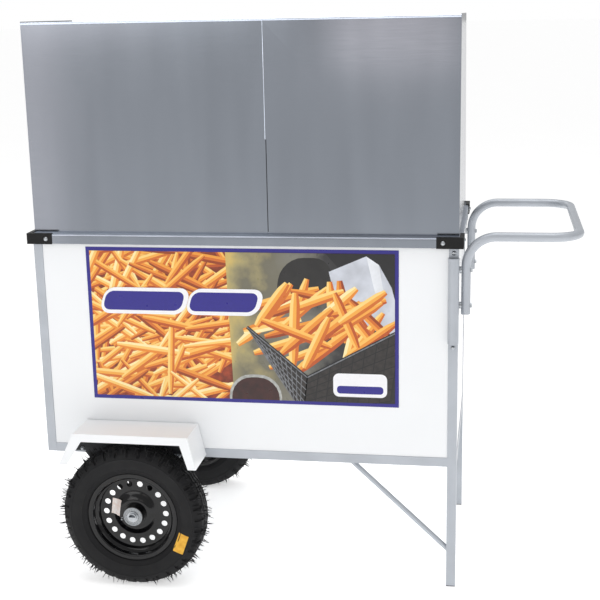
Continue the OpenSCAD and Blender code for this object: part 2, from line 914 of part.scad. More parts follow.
// ---- fenders and axle ----

// a drawing of X and Z, spread along Y between two distances from the cart's middle
module beside(side, near, far) {
    translate([wheel_x, side > 0 ? far : -near, 0])
        rotate([90, 0, 0]) linear_extrude(far - near) children();
}

// a folded sheet over one wheel, with a lip round its outer edge
module fender(side) {
    beside(side, half_depth, fender_y)
        fender_band(fender_outline(0), fender_outline(fender_t));
    beside(side, fender_y - fender_t, fender_y)
        fender_band(fender_outline(0), fender_outline(fender_lip));
}

// the band between two outlines that are open at the bottom
module fender_band(outer, inner) {
    polygon(concat(outer, [for (i = [len(inner) - 1:-1:0]) inner[i]]));
}

module fender_front() {
    color(PANEL_WHITE) placed() fender(-1);
}

module fender_rear() {
    color(PANEL_WHITE) placed() fender(1);
}

// a straight flat bar between two points of a drawing
module bar(from, to, width) {
    along = (to - from) / norm(to - from);
    across = [-along[1], along[0]] * width / 2;
    polygon([from + across, from - across, to - across, to + across]);
}

// plate behind the fender with two sloping arms down to the axle
module axle_bracket(side) {
    rail_mid = floor_z + tube / 2;
    difference() {
        union() {
            beside(side, half_depth, plate_y) polygon(fender_outline(fender_t));
            for (x = [-fender_end + arm_left, arm_right])
                beside(side, half_depth, plate_y) bar([x, rail_mid], [0, tyre_r], bracket_arm);
            translate([wheel_x, side * half_depth, tyre_r])
                facing(side) cylinder(r = bracket_boss, h = bracket_t);
        }
        translate([wheel_x, side * (half_depth - cut), tyre_r])
            facing(side) cylinder(r = axle_r + hole_slack, h = bracket_t + 2 * cut);
        for (x = bracket_bolts())
            translate([x, side * (half_depth - cut), rail_mid])
                facing(side) cylinder(r = bolt_r + hole_slack, h = bracket_t + 2 * cut);
    }
}

module axle_bracket_front() {
    color(STEEL_DARK) placed() axle_bracket(-1);
}

module axle_bracket_rear() {
    color(STEEL_DARK) placed() axle_bracket(1);
}

// a through axle; the upper half of each end is hollowed out
module axle() {
    cup_wall = 1.5;
    cup_depth = 12;
    cup_floor = 0.5;
    color(ZINC) placed()
        translate([wheel_x, 0, tyre_r])
            difference() {
                translate([0, -axle_half, 0]) facing(1) cylinder(r = axle_r, h = 2 * axle_half);
                for (side = [-1, 1])
                    intersection() {
                        translate([0, side * (axle_half + cut), 0])
                            facing(-side) cylinder(r = axle_r - cup_wall, h = cup_depth + cut);
                        block([-axle_d, -2 * axle_half, cup_floor],
                              [axle_d, 2 * axle_half, axle_d]);
                    }
            }
}

// tubes that keep the hubs away from the brackets
module axle_spacers() {
    spacer_t = 4;
    color(ZINC) placed()
        for (side = [-1, 1])
            translate([wheel_x, side * plate_y, tyre_r]) facing(side)
                difference() {
                    cylinder(r = axle_r + spacer_t, h = wheel_y - hub_half - plate_y - air);
                    translate([0, 0, -cut]) cylinder(r = axle_r + press_fit, h = wheel_y);
                }
}

// retaining rings on the axle's ends
module axle_rings() {
    ring_w = 3.3;
    color(ZINC) placed()
        for (side = [-1, 1])
            translate([wheel_x, side * (wheel_y + hub_half + air), tyre_r]) facing(side)
                difference() {
                    cylinder(r = axle_r + ring_w, h = ring_t);
                    translate([0, 0, -cut]) cylinder(r = axle_r + press_fit, h = ring_t + 2 * cut);
                }
}

// ---- wheels: +Z points outwards, away from the cart ----

module at_wheel(side) {
    placed() translate([wheel_x, side * wheel_y, tyre_r]) facing(side) children();
}

// profile points mirrored about the wheel's middle plane, as one closed outline
function both_sides(half) = concat(half, [for (i = [len(half) - 1:-1:0]) [half[i][0], -half[i][1]]]);

// radius at a share of the sidewall's height above the bead
function up(share) = rim_seat_r + bead_h + share * (tyre_r - rim_seat_r - bead_h);

module tyre() {
    w = tyre_w / 2;
    seat = rim_seat_r + 0.3;
    lip = rim_w / 2 - rim_t - 0.2;
    outer = [[tyre_r, w * 0.33], [up(0.95), w * 0.62], [up(0.86), w * 0.83],
             [up(0.7), w * 0.96], [up(0.52), w], [up(0.28), w * 0.97],
             [up(0.1), w * 0.87], [up(0.01), w * 0.76], [up(0), lip],
             [seat + 2.5, lip], [seat, lip - 2.5]];
    inner = [[seat, lip - 8], [seat + 7, lip - 7], [up(0.09), w - 12], [up(0.3), w - 8],
             [up(0.52), w - 7], [up(0.69), w - 9], [up(0.8), w - 17], [up(0.845), w * 0.3]];
    rotate_extrude($fn = 96)
        polygon(concat(outer, inner,
                       [for (i = [len(inner) - 1:-1:0]) [inner[i][0], -inner[i][1]]],
                       [for (i = [len(outer) - 1:-1:0]) [outer[i][0], -outer[i][1]]]));
}

// the inner tube, blown up against the tyre
module inner_tube() {
    w = tyre_w / 2;
    skin = 2;
    function shell(in) = both_sides([
        [rim_seat_r + 9 + in, w * 0.3], [up(0.12) + in * 0.8, w - 14 - in * 0.6],
        [up(0.3), w - 9.5 - in], [up(0.52), w - 8.5 - in],
        [up(0.667) - in * 0.6, w - 11 - in * 0.8],
        [up(0.775) - in, w - 19], [up(0.82) - in, w * 0.25]]);
    rotate_extrude($fn = 96)
        difference() {
            polygon(shell(0));
            polygon(shell(skin));
        }
}

module rim() {
    half = rim_w / 2;
    seat = rim_seat_r;
    well = rim_well;
    t = rim_t;
    outside = [[seat + 10, half - t], [seat + 2, half - t], [seat, half - 2 * t],
               [seat, half * 0.51], [well, half * 0.35]];
    inside = [[seat + 10, half], [seat + 1, half], [seat - t, half - 1.5 * t],
              [seat - t, half * 0.55], [well - t, half * 0.39]];
    dome = dome_rise;
    dome_foot = 60;
    dome_step = 8;
    function slope(inset) = [for (i = [0:3]) dome_foot - inset - i * dome_step];
    near = slope(0);
    far = slope(rim_t / 3);
    difference() {
        union() {
            rotate_extrude($fn = 96)
                polygon(concat(outside, [for (i = [4:-1:0]) [outside[i][0], -outside[i][1]]],
                               [for (i = [0:4]) [inside[i][0], -inside[i][1]]],
                               [for (i = [4:-1:0]) inside[i]]));
            rotate_extrude($fn = 96)
                polygon([[well - 1, t / 2], [near[0], t / 2], [near[1], t / 2 + dome * 0.25],
                         [near[2], t / 2 + dome * 0.75], [near[3], t / 2 + dome],
                         [hub_r, t / 2 + dome], [hub_r, -t / 2 + dome],
                         [far[3], -t / 2 + dome], [far[2], -t / 2 + dome * 0.7],
                         [far[1], -t / 2 + dome * 0.2], [far[0], -t / 2], [well - 1, -t / 2]]);
        }
        for (i = [0:disc_holes - 1])
            rotate([0, 0, i * 360 / disc_holes])
                translate([disc_pcd / 2, 0, -t]) cylinder(d = disc_hole_d, h = 2 * t);
        rotate([0, 0, stem_turn]) translate([well - 2 * t, 0, stem_z])
            rotate([0, 90, 0]) cylinder(r = stem_r + hole_slack, h = 4 * t);
    }
}

module hub() {
    fit = 0.02;
    collar_w = 3;
    collar_t = 2.5;
    seat_step = 3;
    difference() {
        union() {
            translate([0, 0, -hub_half]) cylinder(r = hub_r - fit, h = hub_len);
            translate([0, 0, dome_rise + rim_t / 2]) cylinder(r = hub_r + collar_w, h = collar_t);
        }
        translate([0, 0, -hub_half - cut])
            cylinder(r = bearing_r - seat_step, h = hub_len + 2 * cut);
        for (side = [-1, 1])
            translate([0, 0, side * (hub_half - bearing_w / 2 + cut / 2)])
                cylinder(r = bearing_r + fit, h = bearing_w + cut, center = true);
    }
}

// the two ball bearings in a hub, each with a recessed shield
module bearings() {
    shield = 0.8;
    ring_in = axle_r + 3.8;
    ring_out = bearing_r - 3.2;
    for (side = [-1, 1])
        translate([0, 0, side * (hub_half - bearing_w / 2)])
            rotate_extrude()
                polygon(both_sides([
                    [axle_r + axle_clear, bearing_w / 2], [ring_in, bearing_w / 2],
                    [ring_in, bearing_w / 2 - shield], [ring_out, bearing_w / 2 - shield],
                    [ring_out, bearing_w / 2], [bearing_r, bearing_w / 2]]));
}

// valve stem through the rim, on the side away from the customers
module valve() {
    stem_out = 28;
    stem_in = 6;
    cap_h = 8;
    rotate([0, 0, stem_turn])
        translate([rim_well - stem_out, 0, stem_z]) rotate([0, 90, 0]) {
            cylinder(r = stem_r, h = stem_out + stem_in);
            cylinder(r = stem_r + 1, h = cap_h);
        }
}

module tyre_front() {
    color(BLACK) at_wheel(-1) tyre();
}

module tube_front() {
    color("#101012") at_wheel(-1) inner_tube();
}

module rim_front() {
    color("#1B1B1E") at_wheel(-1) rim();
}

module hub_front() {
    color(ZINC) at_wheel(-1) hub();
}

module bearings_front() {
    color(ZINC) at_wheel(-1) bearings();
}

module valve_front() {
    color(BLACK) at_wheel(-1) valve();
}

module tyre_rear() {
    color(BLACK) at_wheel(1) tyre();
}

module tube_rear() {
    color("#101012") at_wheel(1) inner_tube();
}

module rim_rear() {
    color("#1B1B1E") at_wheel(1) rim();
}

module hub_rear() {
    color(ZINC) at_wheel(1) hub();
}

module bearings_rear() {
    color(ZINC) at_wheel(1) bearings();
}

module valve_rear() {
    color(BLACK) at_wheel(1) valve();
}

// ---- frying station ----

// a pan with round corners and a flange at z = 0, open at the top
module pan(length, width, depth) {
    room = 1;
    module outline(in) {
        polygon(rounded(length - 2 * in, width - 2 * in, corner_r - in));
    }
    difference() {
        union() {
            linear_extrude(well_t) outline(-flange);
            translate([0, 0, -depth]) linear_extrude(depth + well_t / 2) outline(room);
        }
        translate([0, 0, -depth + well_t]) linear_extrude(depth + cut) outline(room + well_t);
    }
}

module fryer_well() {
    color(STAINLESS) placed() translate([well_x, 0, worktop_z]) pan(well_len, well_w, well_depth);
}

// cast ring with three arms and the mixer tube
module burner() {
    arm_w = 12;
    arm_step = 2;
    mixer_r = 6.3;
    color(CAST_IRON) placed()
        translate([well_x, 0, burner_z]) {
            difference() {
                cylinder(d = burner_d, h = burner_ring);
                translate([0, 0, -cut]) cylinder(d = burner_d - 4 * burner_ring, h = burner_ring + 2 * cut);
            }
            for (a = [-90, 30, 150])
                rotate([0, 0, a])
                    block([0, -arm_w / 2, arm_step],
                          [burner_d / 2 - burner_ring, arm_w / 2, burner_ring - arm_step]);
            translate([0, burner_d / 2 - burner_ring, burner_ring / 2])
                facing(1) cylinder(r = mixer_r, h = mixer_len);
        }
}

// two flat-bar cradles that hang from the top rails and carry the burner
module burner_hangers() {
    bar_t = 3;
    color(STEEL_DARK) placed()
        for (x = [well_x - hanger_x, well_x + hanger_x])
            translate([x - hanger_w / 2, 0, burner_z - bar_t]) {
                block([0, -inner_y, 0], [hanger_w, inner_y, bar_t]);
                for (y = [-inner_y, inner_y - bar_t])
                    block([0, y, 0], [hanger_w, y + bar_t, beam_low + tube / 2 - burner_z + bar_t]);
            }
}

// valve behind the rear panel, its hose barb, and the pipe down to the burner
module gas_line() {
    inlet_gap = 6;
    body_r = 11;
    body_len = 36;
    union_r = 7;
    barb_r = 5;
    pipe_r = 6;
    spindle_len = 10;
    ring_mid = burner_z + burner_ring / 2;
    pipe_y = burner_d / 2 - burner_ring + mixer_len;
    valve_mid = valve_y - body_len / 2;
    inlet = hanger_x - hanger_w / 2 - inlet_gap;
    color(BRASS) placed() {
        translate([well_x, valve_y, valve_z]) facing(-1) cylinder(r = body_r, h = body_len);
        rod([well_x, valve_mid, valve_z], [well_x + inlet * 0.6, valve_mid, valve_z], union_r);
        rod([well_x, valve_mid, valve_z], [well_x + inlet, valve_mid, valve_z], barb_r);
        rod([well_x, valve_mid, valve_z], [well_x, valve_mid, ring_mid - pipe_r], pipe_r);
        rod([well_x, valve_mid, ring_mid], [well_x, pipe_y, ring_mid], pipe_r * 0.8);
        translate([well_x, valve_y - cut, valve_z])
            facing(1) cylinder(r = spindle_r, h = spindle_len);
    }
}

module valve_knob() {
    grip_h = 18;
    grip_t = 10;
    skirt_h = 6;
    bore_h = 8.5;
    color(BLACK) placed()
        translate([well_x, panel_y + knob_gap, valve_z]) facing(1)
            difference() {
                union() {
                    cylinder(d = knob_d, h = skirt_h);
                    block([-grip_t / 2, -knob_d / 2 + 1, skirt_h / 2],
                          [grip_t / 2, knob_d / 2 - 1, grip_h]);
                    cylinder(d = knob_d * 0.55, h = grip_h - grip_t * 0.4);
                }
                translate([0, 0, -cut]) cylinder(r = spindle_r + knob_fit, h = bore_h + cut);
            }
}

// the basket's wall and floor, open at the top
module fry_basket() {
    skin = 1.5;
    tighter = 8;
    module outline(in) {
        polygon(rounded(basket_len - 2 * in, basket_w - 2 * in, corner_r - tighter - in));
    }
    color(STAINLESS) placed()
        translate([well_x, 0, basket_low])
            difference() {
                linear_extrude(basket_h) outline(0);
                translate([0, 0, skin]) linear_extrude(basket_h) outline(skin);
            }
}

// rods: a frame round the basket's rim and the long handle towards the operator
module basket_frame() {
    r = rod_d / 2;
    x = basket_len / 2 + r - weld;
    y = basket_w / 2 + r - weld;
    rise = grip_z - basket_top + r;
    grip_y = band_y - 40;
    grip_in = 30;
    spread = 30;
    weld_r = r * 1.25;
    color(ZINC) placed()
        translate([well_x, 0, basket_top - r]) {
            for (side = [-1, 1]) {
                rod([-x, side * y, 0], [x, side * y, 0], r);
                rod([side * x, -y, 0], [side * x, y, 0], r);
                for (end = [-1, 1]) translate([side * x, end * y, 0]) sphere(r = weld_r);
                rod([side * spread, y, 0], [side * spread, y, rise], r * 0.95);
                rod([side * spread, y, rise], [side * grip_rod, grip_y, rise], r);
                rod([side * grip_rod, grip_y, rise], [side * grip_rod, grip_y + grip_in, rise], r);
                translate([side * spread, y, rise]) sphere(r = weld_r);
                translate([side * grip_rod, grip_y, rise]) sphere(r = weld_r);
            }
        }
}

module basket_grip() {
    grip_w = 34;
    grip_t = 20;
    start = band_y - 36;
    reach = 110;
    color(BLACK) placed()
        translate([well_x, start, grip_z])
            facing(1)
                linear_extrude(reach)
                    difference() {
                        polygon(rounded(grip_w, grip_t, grip_t * 0.4));
                        for (side = [-1, 1])
                            translate([side * grip_rod, 0]) circle(r = rod_d / 2 + hole_slack / 2);
                    }
}

module drain_tray() {
    color(STAINLESS) placed()
        translate([tray_x, 0, worktop_z + air]) pan(tray_len, tray_w, tray_depth);
}

// wires across a rod frame that stands in the tray
module drain_rack() {
    r = rod_d / 2;
    rack_gap = 12;
    foot_in = 20;
    x = tray_len / 2 - rack_gap;
    y = tray_w / 2 - rack_gap;
    foot = 14;
    low = worktop_z + air - tray_depth + well_t + air;
    color(ZINC) placed()
        translate([tray_x, 0, low + foot + r]) {
            for (side = [-1, 1]) {
                rod([-x, side * y, 0], [x, side * y, 0], r);
                rod([side * x, -y, 0], [side * x, y, 0], r);
                for (sy = [-1, 1])
                    translate([side * (x - foot_in), sy * y, -foot - r])
                        cylinder(r = r * 0.9, h = foot + r);
            }
            for (i = [1:rack_wires])
                rod([-x + i * 2 * x / (rack_wires + 1), -y, r * 0.7],
                    [-x + i * 2 * x / (rack_wires + 1), y, r * 0.7], r * 0.6);
        }
}

post_front_left();
post_rear_left();
leg_front_right();
leg_rear_right();
bottom_rails();
top_rails();
door_post();
leg_braces();
leg_plugs();
front_panel();
left_panel();
right_panel();
rear_panel();
floor_panel();
sign_plate();
rear_door();
door_pull();
hinge_leaves_frame();
hinge_leaves_door();
door_catch();
worktop();
corner_guards();
dome_bolts();
front_wall_left();
front_wall_right();
side_wall_left();
side_wall_right();
wall_rivets();
push_handle();
handle_bolts();
pole_holder();
fender_front();
fender_rear();
axle_bracket_front();
axle_bracket_rear();
axle();
axle_spacers();
axle_rings();
tyre_front();
tube_front();
rim_front();
hub_front();
bearings_front();
valve_front();
tyre_rear();
tube_rear();
rim_rear();
hub_rear();
bearings_rear();
valve_rear();
fryer_well();
burner();
burner_hangers();
gas_line();
valve_knob();
fry_basket();
basket_frame();
basket_grip();
drain_tray();
drain_rack();
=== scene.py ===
"""Looks of a push vending cart: paint, stainless sheet, tyres, printed sign and fry basket."""

import contextlib
import json
import math
import random

import bpy
from bpy.props import FloatProperty, FloatVectorProperty, IntProperty, PointerProperty
from mathutils import Matrix, Vector


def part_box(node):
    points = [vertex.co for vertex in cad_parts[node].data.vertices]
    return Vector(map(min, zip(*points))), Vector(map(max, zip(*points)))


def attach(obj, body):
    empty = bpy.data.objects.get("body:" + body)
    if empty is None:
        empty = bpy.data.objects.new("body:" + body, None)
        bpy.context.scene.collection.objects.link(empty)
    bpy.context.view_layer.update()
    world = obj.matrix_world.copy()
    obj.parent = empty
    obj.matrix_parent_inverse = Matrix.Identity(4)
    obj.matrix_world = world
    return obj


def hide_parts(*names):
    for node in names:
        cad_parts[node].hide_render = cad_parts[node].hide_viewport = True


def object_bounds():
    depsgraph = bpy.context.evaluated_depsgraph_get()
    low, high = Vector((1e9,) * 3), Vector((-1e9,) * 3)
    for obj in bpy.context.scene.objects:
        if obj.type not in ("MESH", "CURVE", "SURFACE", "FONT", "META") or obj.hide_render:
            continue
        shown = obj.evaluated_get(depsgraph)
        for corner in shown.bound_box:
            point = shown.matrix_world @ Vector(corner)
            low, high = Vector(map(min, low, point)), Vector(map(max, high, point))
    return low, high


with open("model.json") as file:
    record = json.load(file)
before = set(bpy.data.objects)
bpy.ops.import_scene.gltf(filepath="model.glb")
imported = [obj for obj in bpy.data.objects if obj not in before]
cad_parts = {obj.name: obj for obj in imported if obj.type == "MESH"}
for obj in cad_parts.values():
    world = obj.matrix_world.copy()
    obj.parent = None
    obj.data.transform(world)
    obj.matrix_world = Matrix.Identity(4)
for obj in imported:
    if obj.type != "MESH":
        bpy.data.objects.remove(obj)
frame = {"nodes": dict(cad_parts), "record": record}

bl_info = {
    "name": "Push Vending Cart",
    "version": (1, 0, 0),
    "blender": (4, 5, 0),
    "location": "View3D > Sidebar > Cart",
    "description": "Builds the finish and the fine pieces of a push vending cart round its frame",
    "category": "Object",
}

MM = 0.001
CAD_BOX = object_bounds()
RECORD = frame["record"]
BODY_OF = {node: body for body, nodes in RECORD["behaviour"]["bodies"].items() for node in nodes}
SLOT_OF = {part["node"]: part["material_slot"] for part in RECORD["subparts"]}
HAS_SHADER = {}


# ---- small helpers ----

def linear(code):
    """An sRGB hex colour as linear red, green and blue."""
    parts = [int(code[i:i + 2], 16) / 255 for i in (1, 3, 5)]
    return [v / 12.92 if v <= 0.04045 else ((v + 0.055) / 1.055) ** 2.4 for v in parts]


def colour(name, code, words):
    """A colour setting with its default from an sRGB hex value."""
    return FloatVectorProperty(name=name, description=words, default=linear(code),
                               subtype="COLOR", size=3, min=0, max=1)


def length(name, millimetres, words):
    """A length setting with its default given in millimetres."""
    return FloatProperty(name=name, description=words, default=millimetres * MM,
                         unit="LENGTH", min=0)


def middle(node):
    """The middle of a CAD node's box."""
    low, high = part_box(node)
    return (low + high) / 2


def deselect():
    """Leaves nothing selected, in object mode."""
    if bpy.context.mode != "OBJECT":
        bpy.ops.object.mode_set(mode="OBJECT")
    bpy.ops.object.select_all(action="DESELECT")


def take(piece):
    """Makes one piece the only selected and active object."""
    deselect()
    piece.select_set(True)
    bpy.context.view_layer.objects.active = piece


@contextlib.contextmanager
def edit_mode(piece, action="SELECT"):
    """Edit mode on one piece, with all of it selected at the start, or nothing."""
    take(piece)
    bpy.ops.object.mode_set(mode="EDIT")
    bpy.ops.mesh.select_all(action=action)
    yield
    bpy.ops.object.mode_set(mode="OBJECT")


def new_piece(name):
    """Names the primitive that was just added, and returns it."""
    piece = bpy.context.object
    piece.name = name
    piece.data.name = name
    return piece


def apply_all(piece):
    """Applies every modifier, in order."""
    take(piece)
    for name in [modifier.name for modifier in piece.modifiers]:
        bpy.ops.object.modifier_apply(modifier=name)


def bevel(piece, width, segments=2, angle=40):
    """Rounds the edges that are sharper than an angle."""
    modifier = piece.modifiers.new("Rounded", "BEVEL")
    modifier.width = width
    modifier.segments = segments
    modifier.limit_method = "ANGLE"
    modifier.angle_limit = math.radians(angle)
    modifier.harden_normals = False
    apply_all(piece)


def smooth(piece, angle=35):
    """Smooth shading, broken at edges sharper than an angle."""
    take(piece)
    bpy.ops.object.shade_smooth_by_angle(angle=math.radians(angle))


def flat_normals(piece):
    """Lets wide flat faces keep their true normals beside small rounded ones."""
    weighted = piece.modifiers.new("Normals", "WEIGHTED_NORMAL")
    weighted.keep_sharp = True
    weighted.weight = 100
    apply_all(piece)


def settle(piece):
    """Puts a piece's place, turn and scale into its mesh."""
    take(piece)
    bpy.ops.object.transform_apply(location=True, rotation=True, scale=True)


def outward(piece, merge=None):
    """Merges doubled points if asked, and turns all faces outwards."""
    with edit_mode(piece):
        if merge:
            bpy.ops.mesh.remove_doubles(threshold=merge)
        bpy.ops.mesh.normals_make_consistent(inside=False)


def joined(pieces, name):
    """Joins pieces into one."""
    deselect()
    for piece in pieces:
        piece.select_set(True)
    bpy.context.view_layer.objects.active = pieces[0]
    if len(pieces) > 1:
        bpy.ops.object.join()
    return new_piece(name)


def twin(piece, name, matrix):
    """A copy with its own mesh, moved by a matrix."""
    made = bpy.data.objects.new(name, piece.data.copy())
    bpy.context.scene.collection.objects.link(made)
    made.data.transform(matrix)
    if matrix.determinant() < 0:
        made.data.flip_normals()
    return made


def paint(piece, material):
    """Gives a piece one material all over."""
    if piece.material_slots:
        for used in piece.material_slots:
            used.material = material
    else:
        piece.data.materials.append(material)


def faced(piece, material, chosen):
    """Gives the chosen faces of a painted piece a second material."""
    piece.data.materials.append(material)
    for face in piece.data.polygons:
        if chosen(face):
            face.material_index = 1


def remove(*pieces):
    """Deletes working copies."""
    for piece in pieces:
        take(piece)
        bpy.ops.object.delete()


def fit(piece, body, slot, *nodes):
    """Rides a piece on its body and hides the nodes that it stands for; its slot is not used."""
    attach(piece, body)
    if nodes:
        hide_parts(*nodes)


def rounded_copy(node, material, width, segments=2, nose=0):
    """A node's shape with rounded edges, standing for the node; a nose rounds the outer upper edges."""
    merge, near, flat_angle, nose_segments = 0.002 * MM, 0.1 * MM, 0.4, 5
    deselect()
    piece = bpy.data.objects.new(node + "_rounded", frame["nodes"][node].data.copy())
    bpy.context.scene.collection.objects.link(piece)
    with edit_mode(piece):
        bpy.ops.mesh.remove_doubles(threshold=merge)
        bpy.ops.mesh.dissolve_limited(angle_limit=math.radians(flat_angle))
    piece.data.materials.clear()
    if nose:
        low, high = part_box(node)
        weight = piece.data.attributes.new("bevel_weight_edge", "FLOAT", "EDGE")
        for edge in piece.data.edges:
            ends = [piece.data.vertices[index].co for index in edge.vertices]
            top = all(abs(end.z - high.z) < near for end in ends)
            outer = any(all(abs(end[axis] - side[axis]) < near for end in ends)
                        for axis in (0, 1) for side in (low, high))
            weight.data[edge.index].value = float(top and outer)
        folded = piece.modifiers.new("Nose", "BEVEL")
        folded.limit_method = "WEIGHT"
        folded.width = nose
        folded.segments = nose_segments
        apply_all(piece)
    bevel(piece, width, segments)
    smooth(piece)
    flat_normals(piece)
    paint(piece, material)
    fit(piece, BODY_OF[node], SLOT_OF[node], node)
    return piece


def rounded_row(material, rows):
    """Rounded copies in one material, each from its node, its width in mm and its segments."""
    for node, width_mm, segments in rows:
        rounded_copy(node, material, width_mm * MM, segments)


# ---- materials ----

def add(material, kind, inputs=None, **settings):
    """Adds a shader node with its settings, and links or sets its inputs."""
    made = material.node_tree.nodes.new(kind)
    for name, value in settings.items():
        setattr(made, name, value)
    for name, value in (inputs or {}).items():
        if isinstance(value, bpy.types.NodeSocket):
            material.node_tree.links.new(value, made.inputs[name])
        else:
            made.inputs[name].default_value = value
    return made


def shader_of(material):
    """The material's main shader."""
    return material.node_tree.nodes["Principled BSDF"]


def wire_up(material, output, socket):
    """Links an output to a socket of the main shader."""
    material.node_tree.links.new(output, shader_of(material).inputs[socket])


def finish_called(name, **plain):
    """A new material with its plain values set on the shader's own sockets."""
    material = bpy.data.materials.new(name)
    material.use_nodes = True
    for socket, value in plain.items():
        shader_of(material).inputs[socket.replace("_", " ")].default_value = value
    return material


def pattern(material, size_mm, detail=2.0, stretch=(1, 1, 1)):
    """Noise on the object's own coordinates, with features about size_mm across."""
    place = add(material, "ShaderNodeTexCoord")
    mapping = add(material, "ShaderNodeMapping", {"Vector": place.outputs["Object"], "Scale": stretch})
    noise = add(material, "ShaderNodeTexNoise",
                {"Vector": mapping.outputs["Vector"], "Scale": 1000 / size_mm, "Detail": detail})
    return noise.outputs["Fac"]


def spread(material, factor, low, high, start=0.3, end=0.7):
    """Turns a pattern's middle range into a range of values."""
    made = add(material, "ShaderNodeMapRange",
               {"Value": factor, "From Min": start, "From Max": end, "To Min": low, "To Max": high})
    return made.outputs["Result"]


def shades(material, factor, first, *rest):
    """Blends colours by a factor, each colour given with its place from 0 to 1."""
    ramp = add(material, "ShaderNodeValToRGB", {"Fac": factor})
    stops = ramp.color_ramp.elements
    stops[0].position, stops[1].position = first[0], rest[-1][0]
    stops[0].color, stops[1].color = (*first[1], 1), (*rest[-1][1], 1)
    for place, value in rest[:-1]:
        stops.new(place).color = (*value, 1)
    return ramp.outputs["Color"]


def relief(material, height, depth_mm, below=None):
    """Bumps the surface by a pattern of a real depth, on top of an earlier bump if there is one."""
    inputs = {"Height": height, "Distance": depth_mm * MM, "Strength": 1.0}
    if below:
        inputs["Normal"] = below
    bump = add(material, "ShaderNodeBump", inputs)
    wire_up(material, bump.outputs["Normal"], "Normal")
    return bump.outputs["Normal"]


def tinted(colour_value, factor):
    """A colour made lighter or darker by a factor."""
    return [min(1.0, channel * factor) for channel in colour_value]


def around(colour_value, low, high):
    """A darker and a lighter tone of one colour."""
    return tinted(colour_value, low), tinted(colour_value, high)


def finish(name, tones, rough, marks, worn=None, grain=None, depth=0, span=(0.3, 0.7), **plain):
    """A finish in two tones and two roughnesses, each laid out by noise, with a fine relief.

    Marks, worn and grain are the size in mm, the detail and the stretch of the noise in the colour,
    the roughness and the relief. The last two follow the colour's noise unless they have their own.
    """
    made = finish_called(name, **plain)
    mottle = pattern(made, *marks)
    wire_up(made, shades(made, mottle, (span[0], tones[0]), (span[1], tones[1])), "Base Color")
    wire_up(made, spread(made, pattern(made, *worn) if worn else mottle, *rough), "Roughness")
    if depth:
        relief(made, pattern(made, *grain) if grain else mottle, depth)
    return made


def once(maker):
    """Keeps the first material that a maker gives, and hands it out again."""
    def keeper():
        if maker.__name__ not in HAS_SHADER:
            HAS_SHADER[maker.__name__] = maker()
        return HAS_SHADER[maker.__name__]
    return keeper


def settings():
    """The cart's colours and sizes."""
    return bpy.context.scene.cart_finish


@once
def silver_powder_coat():
    """Powder coat, sprayed and baked: even silver-grey with a soft orange peel."""
    # real peel is about 1.5 mm across, drawn at 3 mm so that it shows
    return finish("silver_powder_coat", around(settings().tube_grey, 0.95, 1.05), (0.32, 0.44), (70,),
                  worn=(25,), grain=(3,), depth=0.02, Metallic=0.25, Coat_Weight=0.15)


@once
def white_enamel():
    """Baked enamel on steel sheet: clean white, glossy, faintly wavy, a little dulled by handling."""
    made = finish("white_enamel", around(settings().panel_white, 0.985, 1), (0.28, 0.34), (220,),
                  worn=(60,), Coat_Weight=0.2, Coat_Roughness=0.15)
    wave = relief(made, pattern(made, 160, 0), 0.35)
    relief(made, pattern(made, 4), 0.012, wave)
    return made


def stainless(name, grain):
    """Rolled stainless sheet with its brushing along one direction and a slight buckle."""
    made = finish_called(name, Metallic=1.0)
    low, high = around(settings().stainless_grey, 0.96, 1.05)
    # brushing is under 0.1 mm apart, drawn at 1.2 mm so that it shows
    lines = pattern(made, 1.2, 3, grain)
    # faint tall streaks in the colour: painted reflection streaks of the brushed sheet
    painted_sheen_streaks = pattern(made, 90, 1, (1.6, 1.6, 0.25))
    buckle = relief(made, pattern(made, 260, 0), 0.9)
    relief(made, lines, 0.0006, buckle)
    blend = add(made, "ShaderNodeMix", {"Factor": 0.9, "A": lines, "B": painted_sheen_streaks}, data_type="FLOAT")
    wire_up(made, shades(made, blend.outputs["Result"], (0.3, low), (0.7, high)), "Base Color")
    wire_up(made, spread(made, lines, 0.13, 0.18), "Roughness")
    return made


@once
def brushed_stainless():
    """Stainless sheet with the brushing from left to right."""
    return stainless("brushed_stainless", (0.02, 1, 1))


@once
def brushed_stainless_sides():
    """Stainless sheet with the brushing from front to back."""
    return stainless("brushed_stainless_sides", (1, 0.02, 1))


@once
def wiped_and_top_lit_stainless():
    """Stainless worktop face: duller than the walls from daily wiping, no clear mirror, and about twice
    as pale as them, a painted highlight of the light from above.
    """
    return finish("wiped_and_top_lit_stainless", around(settings().stainless_grey, 1.9, 2.3), (0.36, 0.5),
                  (40, 4, (0.4, 1, 1)), worn=(1.2, 3, (0.02, 1, 1)), grain=(260, 0), depth=0.8,
                  Metallic=1.0)


@once
def painted_highlight_stainless():
    """Stainless at a folded or cut edge with a painted highlight: about three times as pale as the
    sheet, for light caught from above.
    """
    return finish("painted_highlight_stainless", around(settings().stainless_grey, 2.6, 3.3), (0.2, 0.3),
                  (30, 3, (0.2, 1, 1)), grain=(40, 2, (0.3, 1, 1)), depth=0.1, Metallic=1.0)


@once
def used_stainless():
    """Pressed stainless of the well and tray, dulled by heat and oil."""
    return finish("used_stainless", around(settings().stainless_grey, 0.78, 1.25), (0.18, 0.42),
                  (55, 5), grain=(2,), depth=0.01, Metallic=1.0)


@once
def zinc_plate():
    """Bright zinc plating: pale metal with a faint mottle."""
    return finish("zinc_plate", around(settings().zinc_grey, 0.88, 1.06), (0.26, 0.42), (5, 3),
                  grain=(1.2,), depth=0.01, Metallic=1.0)


@once
def ground_steel():
    """Ground and oiled bearing steel: darker than zinc, with fine marks of wear."""
    return finish("ground_steel", around(settings().zinc_grey, 0.42, 0.7), (0.18, 0.34), (3, 4),
                  depth=0.01, Metallic=1.0)


